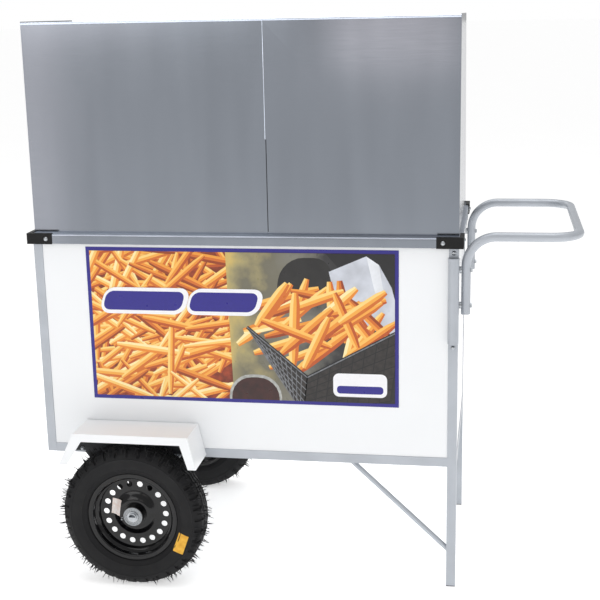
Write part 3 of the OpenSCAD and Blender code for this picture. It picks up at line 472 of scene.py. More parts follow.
@once
def moulded_plastic():
    """Black polypropylene from a spark-eroded mould: fine grain, soft sheen."""
    # the grain is about 0.3 mm, drawn at 1 mm so that it shows
    return finish("moulded_plastic", around(settings().plastic_black, 0.8, 1.3), (0.38, 0.55), (30,),
                  worn=(12,), grain=(1,), depth=0.05, Specular_IOR_Level=0.3)


@once
def tyre_rubber():
    """Vulcanised rubber: near black, slightly grey where it is dusty, with mould texture."""
    return finish("tyre_rubber", around(settings().rubber_black, 0.75, 1.5), (0.5, 0.72), (30, 5),
                  grain=(2, 4), depth=0.12, Specular_IOR_Level=0.3)


@once
def gloss_black_paint():
    """Black stoving paint on a pressed wheel: deep gloss with a slight peel and a little dust."""
    return finish("gloss_black_paint", around(settings().rim_black, 1, 2.2), (0.12, 0.26), (18, 4),
                  worn=(14, 3), grain=(3,), depth=0.012, span=(0.45, 0.8),
                  Specular_IOR_Level=0.25, Coat_Weight=0.35, Coat_Roughness=0.06)


@once
def chassis_black():
    """Brushed-on chassis paint: dark grey, uneven and half matt."""
    return finish("chassis_black", around(settings().bracket_grey, 0.75, 1.35), (0.4, 0.62),
                  (9, 4, (0.3, 1, 1)), depth=0.06)


@once
def cast_iron():
    """Sand-cast iron, sooted: dark, rough and grainy."""
    return finish("cast_iron", around(settings().iron_grey, 0.6, 1.3), (0.62, 0.85), (2, 5),
                  depth=0.25, Metallic=0.6)


@once
def turned_brass():
    """Turned brass fittings, slightly tarnished."""
    return finish("turned_brass", around(settings().brass, 0.7, 1), (0.22, 0.42), (14, 4),
                  Metallic=1.0)


def laminated(name):
    """Vinyl under a laminate with a soft gloss and a fine texture, still without its print."""
    made = finish_called(name, IOR=1.45, Coat_Weight=0.25, Coat_Roughness=0.2)
    wire_up(made, spread(made, pattern(made, 20), 0.27, 0.4), "Roughness")
    relief(made, pattern(made, 1.5), 0.008)
    return made


def printed(name, base, shift=0.12, size_mm=6):
    """Printed ink of one colour with a slight variation."""
    made = laminated(name)
    low, high = around(base, 1 - shift, 1 + shift)
    wire_up(made, shades(made, pattern(made, size_mm, 3), (0.3, low), (0.7, high)), "Base Color")
    return made


def ink(name, code, *variation):
    """Printed ink of an sRGB hex colour."""
    return printed(name, linear(code), *variation)


def blended(made, factor, codes):
    """Gives a print the colours of an sRGB scale by a factor."""
    wire_up(made, shades(made, factor, *[(place, linear(code)) for place, code in codes]), "Base Color")
    return made


def table_ink(left, right):
    """Printed table behind the basket: pale yellow-green fading to dark grey from left to right."""
    made = laminated("table_ink")
    place = add(made, "ShaderNodeTexCoord")
    parts = add(made, "ShaderNodeSeparateXYZ", {"Vector": place.outputs["Object"]})
    share = spread(made, parts.outputs["X"], 0, 1, left + 0.455 * (right - left), right)
    blot = spread(made, pattern(made, 70, 4), -0.1, 0.1)
    mixed = add(made, "ShaderNodeMath", {0: share, 1: blot}, operation="ADD")
    return blended(made, mixed.outputs["Value"],
                   ((0, "#CDB368"), (0.1, "#A0956A"), (0.2, "#6F6B5A"), (0.45, "#7C7A70"),
                    (0.62, "#2E2D2E"), (1, "#16161A")))


@once
def fry_ink():
    """Printed picture of fries: each one has its own tone, from pale gold to brown orange."""
    made = laminated("fry_ink")
    tone = add(made, "ShaderNodeAttribute", attribute_name="tone", attribute_type="GEOMETRY")
    return blended(made, tone.outputs["Fac"],
                   ((0, "#7A2E0C"), (0.22, "#C4571A"), (0.45, "#E88A2A"), (0.66, "#F7B64C"),
                    (0.84, "#FCD884"), (1, "#FFF1BE")))


@once
def label_paper():
    """Uncoated label paper, a little stained."""
    return finish("label_paper", (linear("#E3CFC4"), linear("#F2EEEC")), (0.7, 0.85), (8, 4),
                  worn=(2,), grain=(6,), depth=0.1)


@once
def yellow_label():
    """Coated yellow label."""
    return finish("yellow_label", (linear("#D99A1E"), linear("#F0BC3A")), (0.4, 0.55), (9, 4),
                  worn=(4,))


@once
def studio_white():
    """Matt painted studio floor."""
    return finish("studio_white", (linear("#FAFAFA"), linear("#FCFCFC")), (0.75, 0.9), (900,),
                  worn=(400,), Emission_Color=(1, 1, 1, 1), Emission_Strength=0.5)


# ---- settings ----

class CartFinish(bpy.types.PropertyGroup):
    """Colours and small sizes of the cart's finish."""

    tube_grey: colour("Tube grey", "#B1B6BD", "Powder coat of the frame tubes and handle")
    panel_white: colour("Panel white", "#F1F3F5", "Enamel of the panels and fenders")
    stainless_grey: colour("Stainless grey", "#858A92", "Stainless sheet")
    zinc_grey: colour("Zinc grey", "#B4B8BC", "Plated bolts and axle")
    plastic_black: colour("Plastic black", "#060607", "Guards, grips and knobs")
    rubber_black: colour("Rubber black", "#0E0E10", "Tyres")
    rim_black: colour("Rim black", "#060608", "Pressed wheels")
    bracket_grey: colour("Bracket grey", "#202226", "Axle brackets")
    iron_grey: colour("Iron grey", "#343434", "Burner")
    brass: colour("Brass", "#C8A25A", "Gas fittings")
    sign_blue: colour("Sign blue", "#231A84", "Border and ribbon of the sign")
    groove_depth: length("Groove depth", 4.5, "Depth of the grooves in the tread")
    whisker_length: length("Whisker length", 11, "Mean length of the rubber whiskers on a new tyre")
    whisker_count: IntProperty(name="Whiskers", description="Rubber whiskers on each tyre",
                               default=520, min=0, max=900)
    wire_pitch: length("Wire pitch", 10, "Spacing of the fry basket's wires")
    edge_round: length("Edge rounding", 1.6, "Outer radius of the frame tubes' corners")
    fry_count: IntProperty(name="Fries", description="Fries in the sign's printed heap",
                           default=190, min=50, max=900)


# ---- camera and stage ----

class CART_OT_camera(bpy.types.Operator):
    """Places the camera in front of the cart, a little to the right and above"""

    bl_idname = "cart.camera"
    bl_label = "Camera"

    lens = 71.6
    film = 36
    yaw, pitch, roll = -0.167, 0.236, -0.020
    place = Vector((0.4548, -2.9317, CAD_BOX[1].z + 0.0071))

    def execute(self, context):
        """Adds the camera."""
        data = bpy.data.cameras.new("camera")
        data.lens = self.lens
        data.sensor_width = self.film
        camera = bpy.data.objects.new("camera", data)
        context.scene.collection.objects.link(camera)
        camera.matrix_world = (Matrix.Translation(self.place) @ Matrix.Rotation(-self.yaw, 4, "Z")
                               @ Matrix.Rotation(math.pi / 2 - self.pitch, 4, "X")
                               @ Matrix.Rotation(self.roll, 4, "Z"))
        context.scene.camera = camera
        return {"FINISHED"}


class CART_OT_stage(bpy.types.Operator):
    """Adds a pale floor, a pale surround and soft studio lamps"""

    bl_idname = "cart.stage"
    bl_label = "Stage and lights"

    floor_size = 300
    floor_drop = 0.5 * MM
    surround_light = 0.5
    surround_seen = 1.0

    def lamp(self, name, place, size, power, aim, tint=(1, 1, 1)):
        """A square area lamp at a place, turned to its aim."""
        data = bpy.data.lights.new(name, "AREA")
        data.color = tint
        data.energy = power
        data.shape = "RECTANGLE"
        data.size, data.size_y = size
        made = bpy.data.objects.new(name, data)
        bpy.context.scene.collection.objects.link(made)
        turn = (Vector(aim) - Vector(place)).to_track_quat("-Z", "Y").to_matrix().to_4x4()
        made.matrix_world = Matrix.Translation(place) @ turn
        made.visible_camera = False

    def execute(self, context):
        """Adds the floor, the surround and the lamps."""
        deselect()
        bpy.ops.mesh.primitive_plane_add(size=self.floor_size, location=(0, 0, -self.floor_drop))
        floor = new_piece("floor")
        settle(floor)
        paint(floor, studio_white())
        world = bpy.data.worlds.new("studio")
        world.use_nodes = True
        seen = world.node_tree.nodes.new("ShaderNodeLightPath").outputs["Is Camera Ray"]
        power = world.node_tree.nodes.new("ShaderNodeMapRange")
        power.inputs["To Min"].default_value = self.surround_light
        power.inputs["To Max"].default_value = self.surround_seen
        background = world.node_tree.nodes["Background"]
        background.inputs["Color"].default_value = (1, 1, 1, 1)
        world.node_tree.links.new(seen, power.inputs["Value"])
        world.node_tree.links.new(power.outputs["Result"], background.inputs["Strength"])
        context.scene.world = world
        context.scene.view_settings.view_transform = "Standard"
        self.lamp("front_lamp", (-1.8, -3.6, 2.15), (2.4, 1.8), 20, (0, 0, 0.6))
        self.lamp("right_lamp", (3.2, -2.2, 2.4), (1.4, 2.0), 6, (0, 0, 0.7))
        self.lamp("top_lamp", (0.1, 0.2, 4.2), (4.0, 3.4), 95, (0, 0, 0))
        self.lamp("back_lamp", (-1.2, 3.2, 2.4), (2.0, 1.6), 8, (0, 0, 0.8))
        warm = (1, 0.87, 0.84)
        self.lamp("strip_lamp", (-1.78, -3.05, 1.2), (0.22, 1.9), 1.0, (-0.6, 0, 1.2), warm)
        self.lamp("left_card", (-1.45, -3.05, 1.44), (0.62, 0.36), 0.4, (-0.5, 0, 1.36), warm)
        self.lamp("right_card", (-0.03, -3.05, 1.4), (0.6, 0.62), 1.1, (0.2, 0, 1.36), warm)
        return {"FINISHED"}


# ---- frame, panels and worktop ----

class CART_OT_tubes(bpy.types.Operator):
    """Rounds the drawn corners of the frame's square tubes and coats them"""

    bl_idname = "cart.tubes"
    bl_label = "Frame tubes"

    def execute(self, context):
        """Makes the rounded tubes and coats the round ones."""
        coat = silver_powder_coat()
        for node in ("post_front_left", "post_rear_left", "leg_front_right", "leg_rear_right",
                     "bottom_rails", "top_rails", "door_post"):
            rounded_copy(node, coat, settings().edge_round, segments=3)
        for node in ("leg_braces", "push_handle"):
            paint(frame["nodes"][node], coat)
        rounded_row(coat, [("pole_holder", 0.4, 2)])
        rounded_row(moulded_plastic(), [("leg_plugs", 0.7, 2)])
        return {"FINISHED"}


class CART_OT_panels(bpy.types.Operator):
    """Rounds the cut edges of the enamelled sheets and fenders"""

    bl_idname = "cart.panels"
    bl_label = "Panels and fenders"

    def execute(self, context):
        """Makes the panels, the door and the fenders."""
        rounded_row(white_enamel(), [
            ("front_panel", 0.35, 2), ("left_panel", 0.35, 2), ("right_panel", 0.35, 2),
            ("rear_panel", 0.35, 2), ("floor_panel", 0.35, 2), ("rear_door", 1.0, 3),
            ("fender_front", 0.5, 3), ("fender_rear", 0.5, 3)])
        return {"FINISHED"}


class CART_OT_worktop(bpy.types.Operator):
    """Rounds the worktop's folded edge and its plastic corner guards"""

    bl_idname = "cart.worktop"
    bl_label = "Worktop and guards"

    upward = 0.3

    def execute(self, context):
        """Makes the worktop and the guards."""
        worktop = rounded_copy("worktop", brushed_stainless(), 0.4 * MM, nose=4.5 * MM)
        # the upward faces, the top and the upper part of the folded nose, take the paler finish: a
        # painted highlight from above
        faced(worktop, wiped_and_top_lit_stainless(), lambda face: face.normal.z > self.upward)
        rounded_row(moulded_plastic(), [
            ("corner_guards", 0.8, 3), ("door_pull", 2.5, 4), ("valve_knob", 1.2, 3),
            ("basket_grip", 1.5, 3), ("door_catch", 1.0, 2)])
        return {"FINISHED"}


class CART_OT_windbreak(bpy.types.Operator):
    """Softens the edges of the stainless windbreak"""

    bl_idname = "cart.windbreak"
    bl_label = "Windbreak"

    bead = 6.5 * MM
    bead_proud = 2.75 * MM
    edge_w = 1.5 * MM
    edge_proud = 0.5 * MM
    # share of the joint's height, from the bottom, drawn as a dark strip of painted shadow
    shadow_share = 0.45

    def hem(self, piece):
        """Gives the bead along a front sheet's upper edge a painted highlight."""
        top = max(point.co.z for point in piece.data.vertices)
        faced(piece, painted_highlight_stainless(), lambda face: face.center.z > top - self.bead)

    def strip(self, name, low, high, material, slot):
        """A thin strip beside the joint of the front sheets, given by its two corners."""
        deselect()
        bpy.ops.mesh.primitive_cube_add(size=1, location=(low + high) / 2, scale=high - low)
        piece = new_piece(name)
        settle(piece)
        bevel(piece, 0.2 * MM)
        smooth(piece)
        paint(piece, material)
        fit(piece, "cart", slot)

    def joint(self):
        """The lap joint: a cut edge with a painted highlight above, and a dark strip of painted shadow
        in the step where it opens below.
        """
        low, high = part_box("front_wall_left")
        face = low.y + self.bead_proud
        part = low.z + self.shadow_share * (high.z - low.z)
        right = Vector((self.edge_w, 0, 0))
        # bright strip: a painted highlight on the cut edge
        self.strip("joint_edge", Vector((high.x - self.edge_w, face - self.edge_proud, part)),
                   Vector((high.x, face, high.z - self.bead)), painted_highlight_stainless(),
                   SLOT_OF["front_wall_left"])
        # dark strip: painted shadow in the step between the two sheets
        self.strip("joint_sealant", Vector((high.x, face, low.z + self.bead)),
                   Vector((high.x, face + self.edge_proud, part)) + right, moulded_plastic(),
                   SLOT_OF["corner_guards"])

    def execute(self, context):
        """Makes the four sheets of the windbreak."""
        for node in ("front_wall_left", "front_wall_right"):
            self.hem(rounded_copy(node, brushed_stainless(), 0.3 * MM))
        self.joint()
        for node in ("side_wall_left", "side_wall_right"):
            rounded_copy(node, brushed_stainless_sides(), 0.3 * MM)
        return {"FINISHED"}


class CART_OT_fittings(bpy.types.Operator):
    """Plates, paints and sharpens up the metal fittings that keep their shape"""

    bl_idname = "cart.fittings"
    bl_label = "Fittings"

    def execute(self, context):
        """Gives the fittings their finishes."""
        for material, nodes in (
                (zinc_plate(), ("dome_bolts", "wall_rivets", "handle_bolts", "axle", "axle_spacers",
                                "axle_rings", "basket_frame", "drain_rack",
                                "hinge_leaves_frame", "hinge_leaves_door")),
                (gloss_black_paint(), ("hub_front", "hub_rear")),
                (tyre_rubber(), ("tube_front", "tube_rear", "valve_front", "valve_rear")),
                (ground_steel(), ("bearings_front", "bearings_rear")),
                (chassis_black(), ("burner_hangers",)), (cast_iron(), ("burner",)),
                (turned_brass(), ("gas_line",))):
            for node in nodes:
                paint(frame["nodes"][node], material)
        rounded_row(chassis_black(), [("axle_bracket_front", 0.6, 2), ("axle_bracket_rear", 0.6, 2)])
        rounded_row(used_stainless(), [("fryer_well", 0.4, 2), ("drain_tray", 0.4, 2)])
        return {"FINISHED"}


# ---- sign ----

class CART_OT_sign(bpy.types.Operator):
    """Prints the sign: a blue border, a heap of fries and a basket of fries, with no wording"""

    bl_idname = "cart.sign"
    bl_label = "Printed sign"

    border = 9 * MM
    lift = 0.004 * MM
    tones = ((0.30, 0.60, 0.82), (0.18, 0.48, 0.70), (0.45, 0.76, 0.94), (0.06, 0.30, 0.52))

    def fry(self, tones):
        """One fry, drawn flat: a long strip with round ends and three tones across."""
        deselect()
        bpy.ops.mesh.primitive_grid_add(x_subdivisions=6, y_subdivisions=3, size=1)
        piece = new_piece("fry")
        for point in piece.data.vertices:
            along = abs(point.co.x) * 2
            point.co.y *= 1 - 0.45 * max(0, along - 0.6) / 0.4
        tone = piece.data.attributes.new("tone", "FLOAT", "FACE")
        for face in piece.data.polygons:
            row = min(2, int((face.center.y + 0.5) * 3))
            tone.data[face.index].value = tones[row]
        return piece

    def strewn(self, dice, count, sizes, tilt, depth, name, spot, wide):
        """Many copies of a fry, each at the spot that a function gives, a hair in front of the last."""
        bases = [self.fry(each) for each in self.tones]
        heap = []
        for index in range(count):
            base = bases[min(3, int(dice.random() ** 1.3 * 4))]
            x, z = spot(dice)
            place = Matrix.Translation((x, depth - index * self.lift, z))
            turn = Matrix.Rotation(-math.radians(dice.gauss(*tilt)), 4, "Y")
            shape = Matrix.Diagonal((dice.uniform(*sizes), dice.uniform(*wide) * MM, 1, 1))
            heap.append(twin(base, "fry", place @ turn @ Matrix.Rotation(math.pi / 2, 4, "X") @ shape))
        remove(*bases)
        piece = joined(heap, name)
        paint(piece, fry_ink())
        return piece

    def trimmed(self, piece, edges):
        """Cuts a flat piece off at upright or level edges, each a point and a direction out."""
        with edit_mode(piece):
            for point, out in edges:
                bpy.ops.mesh.select_all(action="SELECT")
                bpy.ops.mesh.bisect(plane_co=point, plane_no=out, clear_outer=True)

    def patch(self, name, corners, depth, material):
        """A flat printed area from its corners in X and Z."""
        deselect()
        bpy.ops.mesh.primitive_circle_add(vertices=len(corners), radius=1, fill_type="NGON")
        piece = new_piece(name)
        for point, (x, z) in zip(piece.data.vertices, corners):
            point.co = (x, depth, z)
        settle(piece)
        if piece.data.polygons[0].normal.y > 0:
            piece.data.flip_normals()
        paint(piece, material)
        return piece

    def lozenge(self, low, high, slant, corner, steps=6):
        """Corners of a leaning rectangle with round corners."""
        points = []
        for quarter, (sx, sz) in enumerate(((1, 1), (-1, 1), (-1, -1), (1, -1))):
            cx = (high[0] if sx > 0 else low[0]) - sx * corner
            cz = (high[1] if sz > 0 else low[1]) - sz * corner
            for step in range(steps + 1):
                angle = math.pi / 2 * (quarter + step / steps)
                z = cz + corner * math.sin(angle)
                points.append((cx + corner * math.cos(angle) + slant * (z - low[1]), z))
        return points

    def execute(self, context):
        """Makes every layer of the print, from the border to the ribbon."""
        dice = random.Random(12)
        low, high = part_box("sign_plate")
        front = low.y
        left, right = low.x + self.border, high.x - self.border
        bottom, top = low.z + self.border, high.z - self.border
        blue = printed("sign_blue_ink", settings().sign_blue, 0.06)
        rounded_copy("sign_plate", blue, 0.2 * MM)
        edges = [((left, 0, 0), (-1, 0, 0)), ((right, 0, 0), (1, 0, 0)),
                 ((0, 0, bottom), (0, 0, -1)), ((0, 0, top), (0, 0, 1))]
        layers = []

        def at(across, up):
            """A point of the picture from its shares of the width and height."""
            return Vector((left + across * (right - left), bottom + up * (top - bottom)))

        def sheet(name, corners, depth_mm, material):
            """One printed area, trimmed to the picture."""
            piece = self.patch(name, corners, front - depth_mm * MM, material)
            self.trimmed(piece, edges)
            layers.append(piece)

        def fries(name, count, sizes, tilt, depth_mm, spot, wide, *more):
            """One heap of printed fries, trimmed to the picture."""
            piece = self.strewn(dice, count, sizes, tilt, front - depth_mm * MM, name, spot, wide)
            self.trimmed(piece, edges + list(more))
            layers.append(piece)

        def anywhere(draw):
            """A spot in the left half."""
            return at(draw.uniform(-0.04, 0.5), draw.uniform(-0.04, 1.04))

        def in_basket(draw):
            """A spot in the pile that stands up from the basket."""
            along = draw.random()
            return at(0.58 + 0.36 * along, draw.uniform(0.36, 0.66) + 0.12 * math.sin(math.pi * along))

        def on_rim(draw):
            """A spot along the basket's near rim, inside it."""
            along = draw.random()
            return at(0.60 + 0.32 * along, draw.uniform(0.27, 0.5) + 0.25 * abs(along - 0.35))

        sheet("heap_ground", [at(0, 0), at(1, 0), at(1, 1), at(0, 1)], 0.1,
              ink("deep_orange_ink", "#8A3414", 0.5, 16))
        fries("sign_heap", settings().fry_count, (0.11, 0.22), (14, 40), 0.15, anywhere, (14, 20),
              ((at(0.485, 0).x, 0, 0), (1, 0, -0.1)))
        sheet("table_ground", [at(0.47, 0), at(1, 0), at(1, 1), at(0.455, 1)], 1.2,
              table_ink(left, right))
        sheet("dark_blot", self.lozenge(at(0.61, 0.66), at(0.78, 0.97), 0.2, 0.05), 1.24,
              ink("blot_ink", "#1E1C1B", 0.3, 30))
        sheet("corner_shade", [at(0.78, 1), at(1, 1), at(1, 0.8), at(0.84, 0.86)], 1.24,
              ink("corner_ink", "#141316", 0.3, 30))
        sheet("paper_back", [at(0.79, 0.88), at(0.91, 0.985), at(0.95, 0.93), at(0.99, 0.78), at(1, 0.7),
                             at(1, 0.45), at(0.93, 0.5), at(0.82, 0.62)], 1.3,
              ink("wax_paper_ink", "#C9CDD6", 0.16, 45))
        sheet("paper_fold", [at(0.91, 0.985), at(0.95, 0.93), at(0.97, 0.68), at(0.94, 0.72)], 1.34,
              ink("paper_fold_ink", "#E4E7EC", 0.1, 30))
        sheet("bowl", self.lozenge(at(0.455, -0.2), at(0.63, 0.175), 0, 0.055), 1.4,
              ink("bowl_rim_ink", "#A9AAA6", 0.3, 12))
        sheet("bowl_inside", self.lozenge(at(0.463, -0.2), at(0.622, 0.155), 0, 0.05), 1.44,
              ink("sauce_ink", "#35130F", 0.4, 16))
        fries("sign_fries_back", 26, (0.12, 0.19), (60, 48), 1.5, in_basket, (19, 25))
        rim = [at(0.52, 0.5), at(0.715, 0.165), at(1.02, 0.50)]
        foot = [at(0.585, 0.28), at(0.70, -0.09), at(0.985, 0.02)]
        sheet("basket_shade", [rim[0], foot[0], foot[1], foot[2], rim[2], rim[1]], 1.9,
              ink("basket_shade_ink", "#26211F", 0.5, 12))
        fries("sign_fries_front", 11, (0.13, 0.18), (40, 42), 1.66, on_rim, (20, 26))
        wire_black = ink("wire_ink", "#0C0C0E", 0.3, 8)
        wire_grey = ink("wire_rim_ink", "#6E7074", 0.4, 8)

        def wire(start, end, width_mm, depth_mm, material):
            """One printed wire of the basket."""
            run = end - start
            side = Vector((-run.y, run.x)).normalized() * width_mm * MM / 2
            corners = [start + side, start - side, end - side, end + side]
            sheet("basket_wire", corners, depth_mm, material)

        levels = 6
        for face, uprights, material in ((0, 11, wire_grey), (1, 8, wire_black)):
            rim_ends, foot_ends = rim[face:face + 2], foot[face:face + 2]
            for step in range(uprights + 1):
                share = step / uprights
                wire(rim_ends[0].lerp(rim_ends[1], share), foot_ends[0].lerp(foot_ends[1], share),
                     2.2, 1.95, material)
            for step in range(1, levels + 1):
                ends = [upper.lerp(lower, step / levels) for upper, lower in zip(rim_ends, foot_ends)]
                wire(*ends, 2.2, 2.0, material)
            wire(*rim_ends, 8, 2.05, wire_black)
            wire(*rim_ends, 3, 2.1, wire_grey)
        white = ink("white_ink", "#F1F1F4", 0.02)
        for start, end in ((0.035, 0.30), (0.325, 0.545)):
            edge = self.lozenge(at(start - 0.012, 0.575), at(end + 0.012, 0.755), 0.3, 0.026)
            sheet("ribbon_edge", edge, 2.2, white)
            sheet("ribbon", self.lozenge(at(start, 0.6), at(end, 0.73), 0.3, 0.018), 2.25, blue)
        sheet("blank_plaque", self.lozenge(at(0.80, 0.04), at(0.975, 0.2), 0, 0.014), 2.2, white)
        sheet("plaque_band", self.lozenge(at(0.812, 0.062), at(0.963, 0.115), 0, 0.008), 2.25, blue)
        print_sheet = joined(layers, "sign_print")
        settle(print_sheet)
        fit(print_sheet, BODY_OF["sign_plate"], SLOT_OF["sign_plate"])
        return {"FINISHED"}


# ---- wheels ----

def spun(name, outline, steps):
    """A closed outline of points (radius, along), spun about the Y axis."""
    deselect()
    bpy.ops.mesh.primitive_circle_add(vertices=len(outline), radius=1, fill_type="NOTHING")
    piece = new_piece(name)
    for point, (radius, along) in zip(piece.data.vertices, outline):
        point.co = (radius * MM, along * MM, 0)
    with edit_mode(piece):
        bpy.ops.mesh.spin(steps=steps, angle=2 * math.pi, center=(0, 0, 0), axis=(0, 1, 0))
    outward(piece, merge=0.01 * MM)
    return piece


def both_halves(half):
    """Points along one half of a section, and the same on the other half."""
    return half + [(radius, -along) for radius, along in reversed(half)]


def at_wheel(side):
    """Moves a piece modelled about the origin, facing +Y, to the front (-1) or rear (1) wheel."""
    centre = middle("tyre_front" if side < 0 else "tyre_rear")
    return Matrix.Translation(centre) @ Matrix.Diagonal((-side, side, 1, 1))


def placed_wheel_piece(piece, side, name, slot, *nodes):
    """A copy of a wheel's piece, put on the front or rear wheel."""
    end = "front" if side < 0 else "rear"
    made = twin(piece, f"{name}_{end}", at_wheel(side))
    fit(made, "wheel_" + end, slot, *[f"{node}_{end}" for node in nodes])
    return made


# outlines as radius and distance from the wheel's middle plane, in mm
SIDEWALL = [(113.1, 29.1), (113.5, 32.6), (119, 37.2), (124, 39.8), (124.6, 40.7), (125.8, 40.9),
            (126.6, 40.6), (131, 41.6), (138, 42.3), (146, 42.6), (151.2, 42.3), (151.8, 43.0),
            (153.2, 43.0), (153.8, 42.1), (158, 41.2)]
DISC_FACE = [(25.4, 13.1), (35, 13.1), (38.5, 12.2), (42, 10.4), (46, 7.6), (50, 4.6), (54, 2.4),
             (58, 1.3), (62, 1.1), (86, 1.1)]


def height_on(outline, radius):
    """How far an outline stands from the wheel's middle plane at a radius, in mm."""
    for (low, start), (high, end) in zip(outline, outline[1:]):
        if low <= radius <= high:
            return start + (end - start) * (radius - low) / (high - low)
    return outline[-1][1]


class CART_OT_tyres(bpy.types.Operator):
    """Moulds the tyres: rings on the sidewall, shoulder blocks, zigzag grooves and whiskers"""

    bl_idname = "cart.tyres"
    bl_label = "Tyres"

    steps = 144
    crown = 176.5
    zigzag = (0, 2.4, 0, -2.4)
    grooves_r, grooves_half = 170, 24
    shoulder_r, shoulder = 161, (22, 40)
    block_depth = 3.2
    half_width = 42.5
    vents = ((40, 158), (38, 163), (36, 166), (30, 172), (14, 175.5), (6, 175.5))

    def carcass(self):
        """The tyre without whiskers, about the origin."""
        crown = self.crown
        deep = crown - settings().groove_depth / MM
        tread = [(167, 36), (173, 29.5), (173.4, 27), (175.4, 21), (crown, 17.5), (deep, 16.6),
                 (deep, 12.6), (crown, 11.7), (crown, 2.6), (deep, 1.8)]
        toe = [(166.5, 10), (160, 30), (146, 36), (132, 35), (118, 31), (108, 22), (101.8, 21),
               (101.8, 27), (104.3, 29.1)]
        half = tread[::-1] + SIDEWALL[::-1] + toe[::-1]
        piece = spun("tyre", both_halves(half), self.steps)
        for point in piece.data.vertices:
            radius = math.hypot(point.co.x, point.co.z) / MM
            turn = round(math.atan2(point.co.z, point.co.x) / (2 * math.pi) * self.steps) % 4
            if radius > self.grooves_r and abs(point.co.y) < self.grooves_half * MM:
                point.co.y += self.zigzag[turn] * MM
        with edit_mode(piece, "DESELECT"):
            bpy.ops.mesh.select_mode(type="FACE")
        inner, outer = self.shoulder
        for face in piece.data.polygons:
            centre = face.center / MM
            radius = math.hypot(centre.x, centre.z)
            turn = int((math.atan2(centre.z, centre.x) / (2 * math.pi) + 2) * self.steps) % 4
            shoulder = radius > self.shoulder_r and inner < abs(centre.y) < outer
            face.select = shoulder and turn == (0 if centre.y > 0 else 2)
        bpy.ops.object.mode_set(mode="EDIT")
        inward = {"value": -self.block_depth * MM}
        bpy.ops.mesh.extrude_region_shrink_fatten(TRANSFORM_OT_shrink_fatten=inward)
        bpy.ops.object.mode_set(mode="OBJECT")
        bevel(piece, 0.5 * MM, segments=1, angle=50)
        smooth(piece, 30)
        return piece

    def whiskers(self, dice, centre_z):
        """Thin rubber whiskers left by the mould's vents, none of them under the floor."""
        deselect()
        bpy.ops.mesh.primitive_cone_add(vertices=5, radius1=1.2 * MM, radius2=0.5 * MM, depth=1,
                                        location=(0, 0, 0.5))
        base = new_piece("whisker")
        settle(base)
        made = []
        while len(made) < settings().whisker_count:
            angle = dice.uniform(0, 2 * math.pi)
            along, radius = dice.choice(self.vents)
            along *= dice.choice((-1, 1, 1))
            tall = settings().whisker_length * dice.uniform(0.75, 1.9)
            lean = Vector((dice.uniform(-0.35, 0.35), 0, 0))
            lean.y = max(-0.3, min(0.3, dice.uniform(-0.05, 0.3) * math.copysign(1, along)))
            if abs(along) + abs(lean.y) * tall / MM > self.half_width:
                lean.y = 0
            around_axle = Matrix.Rotation(-angle + math.pi / 2, 3, "Y")
            out = around_axle @ Vector((lean.x, lean.y, 1)).normalized()
            start = Vector((math.cos(angle) * radius, along, math.sin(angle) * radius)) * MM
            if (start + out * tall).z < 1 * MM - centre_z:
                continue
            turn = out.to_track_quat("Z", "Y").to_matrix().to_4x4()
            size = Matrix.Diagonal((1, 1, tall, 1))
            made.append(twin(base, "whisker", Matrix.Translation(start - out * 1.0 * MM) @ turn @ size))
        remove(base)
        return made

    def execute(self, context):
        """Makes both tyres."""
        carcass = self.carcass()
        centre_z = middle("tyre_front").z
        for side, seed in ((-1, 5), (1, 9)):
            end = "front" if side < 0 else "rear"
            parts = [twin(carcass, "tyre", Matrix.Identity(4))]
            parts += self.whiskers(random.Random(seed), centre_z)
            whole = joined(parts, "tyre_" + end + "_moulded")
            whole.data.transform(at_wheel(side))
            smooth(whole, 30)
            paint(whole, tyre_rubber())
            fit(whole, "wheel_" + end, SLOT_OF["tyre_" + end], "tyre_" + end)
        remove(carcass)
        return {"FINISHED"}


